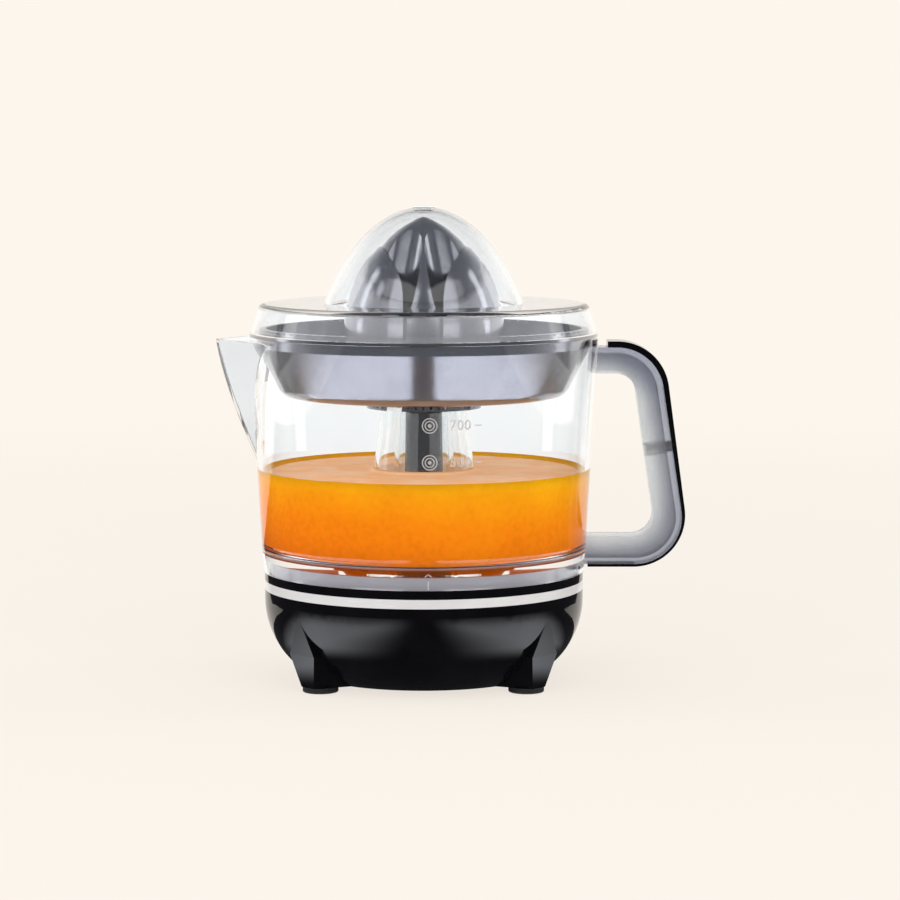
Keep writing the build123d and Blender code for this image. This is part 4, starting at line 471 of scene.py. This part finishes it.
def juice_finish():
    """Juice seen through the wall: yellower at the top, redder below, with pulp specks, and a faint painted
    glow in its own colour that stands in for light scattered in it.
    """
    material, tree, shader, place = start_finish("orange_juice")
    split = add_node(tree, "SeparateXYZ")
    depth = add_range(tree, JUG_INSIDE_Z, JUICE_Z, high=0.85)
    across = add_range(tree, AXIS_X - JUG_FOOT_R / 2, AXIS_X + JUG_FOOT_R, low=0.02, high=0.22)
    place_in_jug = add_node(tree, "Math")
    layers = add_node(tree, "ValToRGB")
    layers.color_ramp.elements[0].color = (0.82, 0.16, 0.005, 1)
    layers.color_ramp.elements[1].color = (0.96, 0.46, 0.007, 1)
    middle = layers.color_ramp.elements.new(0.55)
    middle.color = (0.91, 0.29, 0.005, 1)
    pulp = drift_colour(tree, place, (0.90, 0.90, 0.90), (1.0, 1.0, 1.0), 420.0)
    drift = drift_colour(tree, place, (0.93, 0.86, 0.9), (1.0, 1.04, 1.0), 26.0)
    speck = add_node(tree, "Mix", data_type="RGBA", blend_type="MULTIPLY")
    speck.inputs["Factor"].default_value = 1.0
    swirl_and_glow = add_node(tree, "Mix", data_type="RGBA", blend_type="MULTIPLY")
    swirl_and_glow.inputs["Factor"].default_value = 1.0
    tree.links.new(place, split.inputs["Vector"])
    tree.links.new(split.outputs["Z"], depth.inputs["Value"])
    tree.links.new(split.outputs["X"], across.inputs["Value"])
    tree.links.new(depth.outputs["Result"], place_in_jug.inputs[0])
    tree.links.new(across.outputs["Result"], place_in_jug.inputs[1])
    tree.links.new(place_in_jug.outputs["Value"], layers.inputs["Fac"])
    tree.links.new(layers.outputs["Color"], speck.inputs["A"])
    tree.links.new(pulp, speck.inputs["B"])
    tree.links.new(speck.outputs["Result"], swirl_and_glow.inputs["A"])
    tree.links.new(drift, swirl_and_glow.inputs["B"])
    tree.links.new(swirl_and_glow.outputs["Result"], shader.inputs["Base Color"])
    # painted light: the juice glows faintly in its own colour, standing in for light scattered in the pulp
    tree.links.new(swirl_and_glow.outputs["Result"], shader.inputs["Emission Color"])
    shader.inputs["Emission Strength"].default_value = 0.28
    marks = place_group(tree, handling_marks, place, Low=0.3, High=0.5, Scale=160.0)
    tree.links.new(marks.outputs["Roughness"], shader.inputs["Roughness"])
    shader.inputs["IOR"].default_value = 1.35
    shader.inputs["Specular IOR Level"].default_value = 0.02
    return material


def juice_top_finish():
    """The juice's open surface: paler, with thin foam drifting on it, and with a painted glow that stands in
    for light scattered in the juice.
    """
    material, tree, shader, place = start_finish("juice_surface")
    foam = drift_colour(tree, place, (0.97, 0.49, 0.22), (0.98, 0.61, 0.38), 75.0)
    marks = place_group(tree, handling_marks, place, Low=0.45, High=0.65, Scale=220.0)
    skin = place_group(tree, moulded_skin, place, Grain=0.4, Grain_Scale=600.0)
    tree.links.new(foam, shader.inputs["Base Color"])
    # painted light: the surface glows in its foam colour, standing in for light scattered in the juice
    tree.links.new(foam, shader.inputs["Emission Color"])
    shader.inputs["Emission Strength"].default_value = 0.42
    tree.links.new(marks.outputs["Roughness"], shader.inputs["Roughness"])
    add_relief(tree, shader, skin.outputs["Height"], 0.00004)
    shader.inputs["IOR"].default_value = 1.12
    return material


# Pieces that only the scene has


def to_object(name, mesh_maker, materials, body):
    """Makes an object from a bmesh and lets it ride on a body."""
    mesh = bpy.data.meshes.new(name)
    mesh_maker.to_mesh(mesh)
    mesh_maker.free()
    for material in materials:
        mesh.materials.append(material)
    piece = bpy.data.objects.new(name, mesh)
    scene.collection.objects.link(piece)
    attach(piece, body)
    return piece


def fill_jug():
    """The juice: a ring of liquid between the jug's wall and its post, with a curled-up edge on both."""
    profile = []
    floor_z = JUG_INSIDE_Z + FLOOR_FILM
    profile.append((post_radius(floor_z) - WETTING, floor_z, 0))
    profile.append((0.040, floor_z, 0))
    corner_r = jug_radius(floor_z, JUG_WALL) + WETTING - FLOOR_FILLET
    for step in range(9):
        angle = math.radians(-90 + 90 * step / 8)
        x = corner_r + FLOOR_FILLET * math.cos(angle)
        z = floor_z + FLOOR_FILLET + FLOOR_FILLET * math.sin(angle)
        wall_r = jug_radius(z, JUG_WALL) + WETTING
        profile.append((min(wall_r, x) if step < 8 else wall_r, z, 0))
    edge_z = JUICE_Z + JUICE_CURL
    for step in range(1, 7):
        z = floor_z + FLOOR_FILLET + (edge_z - floor_z - FLOOR_FILLET) * step / 6
        profile.append((jug_radius(z, JUG_WALL) + WETTING, z, 0))
    wall_r = jug_radius(edge_z, JUG_WALL)
    for drop, away in ((0.0007, 0.0006), (0.0011, 0.0014), (0.0014, 0.0030)):
        profile.append((wall_r - away, edge_z - drop, 1 if away > 0.002 else 0))
    for share in (0.75, 0.5, 0.25):
        inner = post_radius(JUICE_Z)
        profile.append((inner + (wall_r - inner) * share, JUICE_Z, 1))
    post_r = post_radius(JUICE_Z)
    for away, rise in ((0.0026, 0.0), (0.0012, 0.0003), (0.0005, 0.0007)):
        profile.append((post_r + away, JUICE_Z + rise, 1))
    profile.append((post_radius(edge_z) - WETTING, edge_z, 1))
    half_z = 0.07
    profile.append((post_radius(half_z) - WETTING, half_z, 0))
    turns = 160
    made = bmesh.new()
    rings = []
    for radius, z, _ in profile:
        ring = []
        for step in range(turns):
            angle = 2 * math.pi * step / turns
            ring.append(made.verts.new((AXIS_X + radius * math.cos(angle), radius * math.sin(angle), z)))
        rings.append(ring)
    for index, ring in enumerate(rings):
        following = rings[(index + 1) % len(rings)]
        top = profile[index][2]
        for step in range(turns):
            ahead = (step + 1) % turns
            face = made.faces.new((ring[step], ring[ahead], following[ahead], following[step]))
            face.smooth = True
            face.material_index = top
    bmesh.ops.recalc_face_normals(made, faces=made.faces)
    to_object("orange_juice", made, [juice_finish(), juice_top_finish()], "jug")


def foam_finish():
    """Pale foam at the juice's edge."""
    material, tree, shader, place = start_finish("juice_foam")
    tone = drift_colour(tree, place, (0.93, 0.56, 0.14), (0.97, 0.76, 0.42), 500.0)
    marks = place_group(tree, handling_marks, place, Low=0.12, High=0.3, Scale=300.0)
    tree.links.new(tone, shader.inputs["Base Color"])
    tree.links.new(marks.outputs["Roughness"], shader.inputs["Roughness"])
    shader.inputs["IOR"].default_value = 1.33
    return material


def float_foam():
    """Clusters of small bubbles that cling to the wall at the juice's edge."""
    chance = random.Random(7)
    made = bmesh.new()
    front = ((198, 24, 30), (232, 26, 34), (262, 14, 16), (318, 18, 14), (340, 12, 12))
    back = ((120, 30, 16), (60, 26, 12))
    for middle, spread, count in front + back:
        for _ in range(count):
            angle = math.radians(middle + chance.gauss(0, spread / 2))
            size = 0.00022 + 0.00042 * chance.random() ** 2
            away = size * 0.8 + abs(chance.gauss(0, 0.0011))
            radius = jug_radius(JUICE_Z, JUG_WALL) - away
            rise = 0.0009 * math.exp(-away / 0.0009)
            centre = Vector((AXIS_X + radius * math.cos(angle), radius * math.sin(angle), JUICE_Z + rise))
            new = bmesh.ops.create_icosphere(made, subdivisions=2, radius=size)["verts"]
            for vert in new:
                vert.co.z *= 0.75
                vert.co += centre
    for face in made.faces:
        face.smooth = True
    to_object("juice_foam", made, [foam_finish()], "jug")


def wall_point(across, z, out):
    """Point at the jug's front wall, by its distance across from the axis, its height and its way out."""
    radius = jug_radius(z)
    angle = across / radius
    return (AXIS_X + (radius + out) * math.sin(angle), -(radius + out) * math.cos(angle), z)


def raise_rounds(made, across, z, rounds, steps):
    """Rounds in relief about a point of the jug's front wall, each with a radius and a height over it."""
    rows = []
    for reach, height in rounds:
        row = []
        for step in range(steps):
            angle = 2 * math.pi * step / steps
            spot = (across + reach * math.cos(angle), z + reach * math.sin(angle))
            row.append(made.verts.new(wall_point(*spot, height)))
        rows.append(row)
    for inner, outer in zip(rows, rows[1:]):
        for step in range(steps):
            ahead = (step + 1) % steps
            made.faces.new((inner[step], inner[ahead], outer[ahead], outer[step]))
    return rows


def raise_ring(made, across, z, radius, width):
    """A flat ring in relief on the jug's front wall."""
    inside = ((radius - width, -MARK_ROOT), (radius - width * 0.8, MARK_OUT))
    outside = ((radius - width * 0.2, MARK_OUT), (radius, -MARK_ROOT))
    raise_rounds(made, across, z, inside + outside, 48)


def raise_dot(made, across, z, radius):
    """A low rounded dot in relief on the jug's front wall."""
    rounds = ((radius, -MARK_ROOT), (radius * 0.85, MARK_OUT * 0.7), (radius * 0.5, MARK_OUT))
    made.faces.new(raise_rounds(made, across, z, rounds, 20)[-1])


def raise_bar(made, start, end, width):
    """A straight bar in relief between two points given as a distance across and a height."""
    run = Vector(end) - Vector(start)
    side = Vector((-run.y, run.x)).normalized() * width / 2
    steps = 6
    rows = []
    for offset, height in ((-1.0, -MARK_ROOT), (-0.6, MARK_OUT), (0.6, MARK_OUT), (1.0, -MARK_ROOT)):
        row = []
        for step in range(steps + 1):
            spot = Vector(start) + run * step / steps + side * offset
            row.append(made.verts.new(wall_point(spot.x, spot.y, height)))
        rows.append(row)
    for lower, upper in zip(rows, rows[1:]):
        for step in range(steps):
            made.faces.new((lower[step], lower[step + 1], upper[step + 1], upper[step]))
    for step in (0, steps):
        made.faces.new([row[step] for row in rows])


def raise_number(made, text, across, z, height):
    """A plain number in relief on the jug's front wall, starting at a distance across from the axis."""
    height_of_digits = 0.72  # per size of the letters
    curve = bpy.data.curves.new("number_" + text, "FONT")
    curve.body = text
    curve.size = height / height_of_digits
    curve.extrude = (MARK_OUT + MARK_ROOT) / 2
    curve.bevel_depth = 0.00004
    curve.align_y = "CENTER"
    curve.space_character = 1.08
    drawn = bpy.data.objects.new("number_" + text, curve)
    scene.collection.objects.link(drawn)
    bpy.context.view_layer.update()
    mesh = bpy.data.meshes.new_from_object(drawn)
    before = set(made.verts)
    made.from_mesh(mesh)
    for vert in made.verts:
        if vert not in before:
            over = vert.co.z + (MARK_OUT - MARK_ROOT) / 2
            vert.co = Vector(wall_point(across + vert.co.x, z + vert.co.y, over))
    bpy.data.objects.remove(drawn)
    bpy.data.meshes.remove(mesh)
    bpy.data.curves.remove(curve)


def relief_finish():
    """The same plastic as the jug with an etched face, so that the marks read pale."""
    material, tree, shader, place = start_finish("etched_relief")
    tone = drift_colour(tree, place, (0.60, 0.62, 0.64), (0.74, 0.76, 0.77), 700.0)
    marks = place_group(tree, handling_marks, place, Low=0.22, High=0.45, Scale=300.0)
    tree.links.new(tone, shader.inputs["Base Color"])
    tree.links.new(marks.outputs["Roughness"], shader.inputs["Roughness"])
    shader.inputs["Transmission Weight"].default_value = 0.45
    shader.inputs["IOR"].default_value = 1.49
    return material


def mark_jug():
    """Capacity marks with their numbers, and the line that shows how the jug sits on the base."""
    made = bmesh.new()
    for z, text in ((UPPER_MARK_Z, "700"), (LOWER_MARK_Z, "500")):
        raise_ring(made, MARK_X, z, radius=0.0031, width=0.0005)
        raise_ring(made, MARK_X, z, radius=0.0020, width=0.0005)
        raise_dot(made, MARK_X, z, radius=0.0008)
        raise_number(made, text, across=0.0106, z=z, height=0.0039)
        raise_bar(made, (0.0207, z), (0.0236, z), width=0.0005)
    line_x, line_z = MARK_X - 0.0006, JUG_FOOT_Z + 0.0004
    raise_bar(made, (line_x, line_z), (line_x, line_z + 0.0034), width=0.0006)
    raise_bar(made, (MARK_X - 0.0020, line_z + 0.0051), (line_x, line_z + 0.0062), width=0.0005)
    raise_bar(made, (line_x, line_z + 0.0062), (MARK_X + 0.0008, line_z + 0.0051), width=0.0005)
    bmesh.ops.recalc_face_normals(made, faces=made.faces)
    return to_object("relief_marks", made, [relief_finish()], "jug")


def fit_spring():
    """The spring under the spindle, between the bottom cover and the plunger: a copy of its mesh stands in
    for the part.
    """
    wire = bpy.data.objects.new("spring_wire", frame["nodes"]["spindle_spring"].data.copy())
    scene.collection.objects.link(wire)
    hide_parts("spindle_spring")
    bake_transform(wire)


fill_jug()
float_foam()
fit_spring()
marks = mark_jug()
marks.visible_shadow = False
marks.visible_glossy = False
marks.visible_transmission = False


# Studio: cream floor and surround, softboxes, side strips and a top light, and two cards for the mirrors

CREAM = (0.982, 0.922, 0.847)
WHITE = (1.08, 1.08, 1.08)
LAMP_WHITE = (1.0, 0.99, 0.985)
AIM_Z = 0.10  # height that the softboxes point at
SOFT_EDGE = 0.12  # of the softboxes' fronts
ARC_R = 1.05
ARC_LOW_Z = 0.22
ARC_HIGH_Z = 0.95
ARC_HALF = 115  # degrees to each side of the front


def mix_cream(tree, path):
    """The studio's cream, paler where clear pieces show it."""
    cream = add_node(tree, "Mix", data_type="RGBA")
    cream.inputs["A"].default_value = (*CREAM, 1)
    cream.inputs["B"].default_value = (*WHITE, 1)
    tree.links.new(path.outputs["Is Transmission Ray"], cream.inputs["Factor"])
    return cream.outputs["Result"]


def lay_floor():
    """A round floor that takes the shadow and fades out before its edge."""
    made = bmesh.new()
    bmesh.ops.create_circle(made, cap_ends=True, segments=96, radius=2.4)
    mesh = bpy.data.meshes.new("floor")
    made.to_mesh(mesh)
    made.free()
    floor = bpy.data.objects.new("floor", mesh)
    floor.location = (0, 0, -0.0002)
    scene.collection.objects.link(floor)
    material = bpy.data.materials.new("cream_floor")
    material.use_nodes = True
    material.cycles.emission_sampling = "NONE"
    tree = material.node_tree
    tree.nodes.remove(tree.nodes["Principled BSDF"])
    place = add_node(tree, "TexCoord")
    reach = add_node(tree, "VectorMath", operation="LENGTH")
    fade = add_range(tree, 0.25, 1.3, interpolation_type="SMOOTHSTEP")
    paper = add_node(tree, "BsdfDiffuse")
    paper.inputs["Color"].default_value = (*CREAM, 1)
    path = add_node(tree, "LightPath")
    glow = add_node(tree, "Emission")
    lit = add_node(tree, "MixShader")
    lit.inputs["Fac"].default_value = 0.78
    gone = add_node(tree, "BsdfTransparent")
    edge = add_node(tree, "MixShader")
    tree.links.new(place.outputs["Object"], reach.inputs[0])
    tree.links.new(reach.outputs["Value"], fade.inputs["Value"])
    tree.links.new(paper.outputs["BSDF"], lit.inputs[1])
    tree.links.new(glow.outputs["Emission"], lit.inputs[2])
    tree.links.new(fade.outputs["Result"], edge.inputs["Fac"])
    tree.links.new(mix_cream(tree, path), glow.inputs["Color"])
    tree.links.new(lit.outputs["Shader"], edge.inputs[1])
    tree.links.new(gone.outputs["BSDF"], edge.inputs[2])
    tree.links.new(edge.outputs["Shader"], tree.nodes["Material Output"].inputs["Surface"])
    mesh.materials.append(material)


def light_surround():
    """A pale surround behind the juicer, in glass and metal too, with a dim room in front and above."""
    world = bpy.data.worlds.new("surround")
    scene.world = world
    world.use_nodes = True
    world.cycles.sampling_method = "NONE"
    tree = world.node_tree
    seen = tree.nodes["Background"]
    seen.inputs["Color"].default_value = (*CREAM, 1)
    soft = add_node(tree, "Background")
    soft.inputs["Color"].default_value = (0.93, 0.95, 1.0, 1)
    soft.inputs["Strength"].default_value = 0.45
    mirrored = add_node(tree, "Background")
    place = add_node(tree, "TexCoord")
    split = add_node(tree, "SeparateXYZ")
    behind = add_range(tree, -0.45, 0.55, interpolation_type="SMOOTHSTEP")
    above = add_range(tree, 0.75, 0.25, interpolation_type="SMOOTHSTEP")
    share = add_node(tree, "Math", operation="MULTIPLY")
    path = add_node(tree, "LightPath")
    room = add_node(tree, "Mix", data_type="RGBA")
    room.inputs["A"].default_value = (0.03, 0.03, 0.033, 1)
    room.inputs["B"].default_value = (0.22, 0.225, 0.245, 1)
    tone = add_node(tree, "Mix", data_type="RGBA")
    bent = add_node(tree, "Math", operation="MAXIMUM")
    shine = add_node(tree, "MixShader")
    pick = add_node(tree, "MixShader")
    tree.links.new(place.outputs["Generated"], split.inputs["Vector"])
    tree.links.new(split.outputs["Y"], behind.inputs["Value"])
    tree.links.new(split.outputs["Z"], above.inputs["Value"])
    tree.links.new(behind.outputs["Result"], share.inputs[0])
    tree.links.new(above.outputs["Result"], share.inputs[1])
    tree.links.new(share.outputs["Value"], tone.inputs["Factor"])
    tree.links.new(path.outputs["Is Transmission Ray"], room.inputs["Factor"])
    tree.links.new(room.outputs["Result"], tone.inputs["A"])
    tree.links.new(mix_cream(tree, path), tone.inputs["B"])
    tree.links.new(tone.outputs["Result"], mirrored.inputs["Color"])
    tree.links.new(path.outputs["Is Glossy Ray"], bent.inputs[0])
    tree.links.new(path.outputs["Is Transmission Ray"], bent.inputs[1])
    tree.links.new(bent.outputs["Value"], shine.inputs["Fac"])
    tree.links.new(soft.outputs["Background"], shine.inputs[1])
    tree.links.new(mirrored.outputs["Background"], shine.inputs[2])
    tree.links.new(path.outputs["Is Camera Ray"], pick.inputs["Fac"])
    tree.links.new(shine.outputs["Shader"], pick.inputs[1])
    tree.links.new(seen.outputs["Background"], pick.inputs[2])
    tree.links.new(pick.outputs["Shader"], tree.nodes["World Output"].inputs["Surface"])


def multiply_steps(tree, steps):
    """Product of smooth steps, each from 0 at one value to 1 at another."""
    share = None
    for source, start, end in steps:
        step = add_range(tree, start, end, interpolation_type="SMOOTHSTEP")
        tree.links.new(source, step.inputs["Value"])
        if share is None:
            share = step.outputs["Result"]
            continue
        both = add_node(tree, "Math", operation="MULTIPLY")
        tree.links.new(share, both.inputs[0])
        tree.links.new(step.outputs["Result"], both.inputs[1])
        share = both.outputs["Value"]
    return share


def start_glow(name):
    """A glowing material that lights nothing, with the place on its card, whole and split."""
    material = bpy.data.materials.new(name)
    material.use_nodes = True
    material.cycles.emission_sampling = "NONE"
    tree = material.node_tree
    tree.nodes.remove(tree.nodes["Principled BSDF"])
    place = add_node(tree, "TexCoord").outputs["Object"]
    split = add_node(tree, "SeparateXYZ")
    tree.links.new(place, split.inputs["Vector"])
    return material, tree, place, split.outputs


def find_aside(tree, value):
    """Distance from the middle, to either side."""
    aside = add_node(tree, "Math", operation="ABSOLUTE")
    tree.links.new(value, aside.inputs[0])
    return aside.outputs["Value"]


def end_glow(tree, share, low, high, colour, hidden=None):
    """Makes a share glow between two levels, except where hidden: by default, from dull surfaces."""
    level = add_range(tree, 0.0, 1.0, low=low, high=high)
    glow = add_node(tree, "Emission")
    glow.inputs["Color"].default_value = colour
    if hidden is None:
        hidden = add_node(tree, "LightPath").outputs["Diffuse Depth"]
    gone = add_node(tree, "BsdfTransparent")
    pick = add_node(tree, "MixShader")
    tree.links.new(share, level.inputs["Value"])
    tree.links.new(level.outputs["Result"], glow.inputs["Strength"])
    tree.links.new(hidden, pick.inputs["Fac"])
    tree.links.new(glow.outputs["Emission"], pick.inputs[1])
    tree.links.new(gone.outputs["BSDF"], pick.inputs[2])
    tree.links.new(pick.outputs["Shader"], tree.nodes["Material Output"].inputs["Surface"])


def set_up_card(name, outlines, material):
    """A studio card of flat panels that only mirrors and clear pieces show."""
    made = bmesh.new()
    for outline in outlines:
        made.faces.new([made.verts.new(corner) for corner in outline])
    mesh = bpy.data.meshes.new(name)
    made.to_mesh(mesh)
    made.free()
    mesh.materials.append(material)
    card = bpy.data.objects.new(name, mesh)
    scene.collection.objects.link(card)
    card.visible_camera = False
    card.visible_diffuse = False
    card.visible_shadow = False
    return card


def hang_softbox(name, azimuth, distance, height, width, tall, radiance, mirrored=True):
    """A softbox at an angle from the front, aimed at the juicer, with a front that mirrors may show."""
    lamp = bpy.data.lights.new(name, "AREA")
    lamp.shape = "RECTANGLE"
    lamp.size = width
    lamp.size_y = tall
    lamp.energy = radiance * math.pi * width * tall
    lamp.color = LAMP_WHITE
    lamp.cycles.use_multiple_importance_sampling = False
    box = bpy.data.objects.new(name, lamp)
    scene.collection.objects.link(box)
    turn = math.radians(azimuth)
    box.location = (distance * math.sin(turn), -distance * math.cos(turn), height)
    aim = Vector((0, 0, AIM_Z)) - Vector(box.location)
    box.rotation_euler = aim.to_track_quat("-Z", "Y").to_euler()
    box.visible_camera = False
    box.visible_glossy = False
    box.visible_transmission = False
    if not mirrored:
        return
    material, tree, _, split = start_glow(name + "_front")
    steps = []
    for axis, half in (("X", width / 2), ("Y", tall / 2)):
        steps.append((find_aside(tree, split[axis]), half, half - SOFT_EDGE))
    end_glow(tree, multiply_steps(tree, steps), 0.0, radiance, (*LAMP_WHITE, 1))
    outline = []
    for x, y in ((-1, -1), (1, -1), (1, 1), (-1, 1)):
        outline.append((x * width / 2, y * tall / 2, 0))
    front = set_up_card(name + "_front", [outline], material)
    front.location = box.location
    front.rotation_euler = box.rotation_euler


def lay_card():
    """A dark card on the floor in front with a bright patch at each side."""
    material, tree, place, split = start_glow("two_tone_card")
    reach = add_node(tree, "VectorMath", operation="LENGTH")
    tree.links.new(place, reach.inputs[0])
    far = reach.outputs["Value"]
    aside = find_aside(tree, split["X"])
    near_edge, far_edge = (far, 0.064, 0.080), (far, 0.240, 0.110)
    soft = multiply_steps(tree, (near_edge, far_edge, (aside, 0.012, 0.075), (split["Y"], 0.02, -0.06)))
    crisp = multiply_steps(tree, ((far, 0.080, 0.110), (far, 0.250, 0.170), (aside, 0.017, 0.024)))
    lifted = add_range(tree, 0.0, 1.0, low=0.04)
    path = add_node(tree, "LightPath")
    share = add_node(tree, "Mix")
    tree.links.new(crisp, lifted.inputs["Value"])
    tree.links.new(path.outputs["Is Transmission Ray"], share.inputs["Factor"])
    tree.links.new(soft, share.inputs["A"])
    tree.links.new(lifted.outputs["Result"], share.inputs["B"])
    end_glow(tree, share.outputs["Result"], 0.04, 2.7, (0.92, 0.94, 1.0, 1))
    around = [(-0.7, 0.35), (-0.7, -1.3), (0.7, -1.3), (0.7, 0.35)]
    notch = [(0.2, 0.35), (0.2, 0.06), (-0.2, 0.06), (-0.2, 0.35)]
    outline = [(x, y, 0) for x, y in around + notch]
    card = set_up_card("floor_card", [outline], material)
    card.location = (AXIS_X, 0, 0.0006)


def hang_arc():
    """A pale arc round the front that only the outside of clear pieces mirrors, as the lid's rim does."""
    material, tree, _, split = start_glow("pale_arc")
    low_edge, high_edge = (split["Z"], ARC_LOW_Z, 0.34), (split["Z"], ARC_HIGH_Z, 0.80)
    share = multiply_steps(tree, (low_edge, high_edge, (split["Y"], 0.44, 0.10)))
    path = add_node(tree, "LightPath")
    hidden = add_node(tree, "Math", operation="SUBTRACT")
    tree.links.new(path.outputs["Ray Depth"], hidden.inputs[0])
    tree.links.new(path.outputs["Is Singular Ray"], hidden.inputs[1])
    end_glow(tree, share, 0.0, 4.2, (0.95, 0.96, 1.0, 1), hidden.outputs["Value"])
    panels = 24
    outlines = []
    for panel in range(panels):
        ends = []
        for turn in (panel / panels, (panel + 1) / panels):
            angle = math.radians(ARC_HALF * (2 * turn - 1))
            ends.append((ARC_R * math.sin(angle), -ARC_R * math.cos(angle)))
        start, end = ends
        outlines.append([(*start, ARC_LOW_Z), (*end, ARC_LOW_Z), (*end, ARC_HIGH_Z), (*start, ARC_HIGH_Z)])
    set_up_card("pale_arc", outlines, material)


lay_floor()
lay_card()
hang_arc()
light_surround()
for side, name in ((-1, "left"), (1, "right")):
    hang_softbox(
        "softbox_" + name, side * 33, distance=1.60, height=0.90, width=1.40, tall=1.60, radiance=1.45
    )
    hang_softbox("strip_" + name, side * 104, distance=1.30, height=0.50, width=0.42, tall=1.2, radiance=2.6)
hang_softbox("fill_left", -78, distance=1.2, height=0.84, width=0.40, tall=0.40, radiance=1.8)
hang_softbox(
    "top_light", 180, distance=0.5, height=1.7, width=1.2, tall=0.8, radiance=0.9, mirrored=False
)


# Camera: low in front, a little above the lid

TILT_DOWN = 5.73  # degrees
lens = bpy.data.cameras.new("camera")
lens.lens = 134.6
lens.sensor_width = 36.0
camera = bpy.data.objects.new("camera", lens)
camera.location = (AXIS_X + 0.0107, -1.373, 0.232)
camera.rotation_euler = (math.radians(90 - TILT_DOWN), 0, 0)
scene.collection.objects.link(camera)
scene.camera = camera
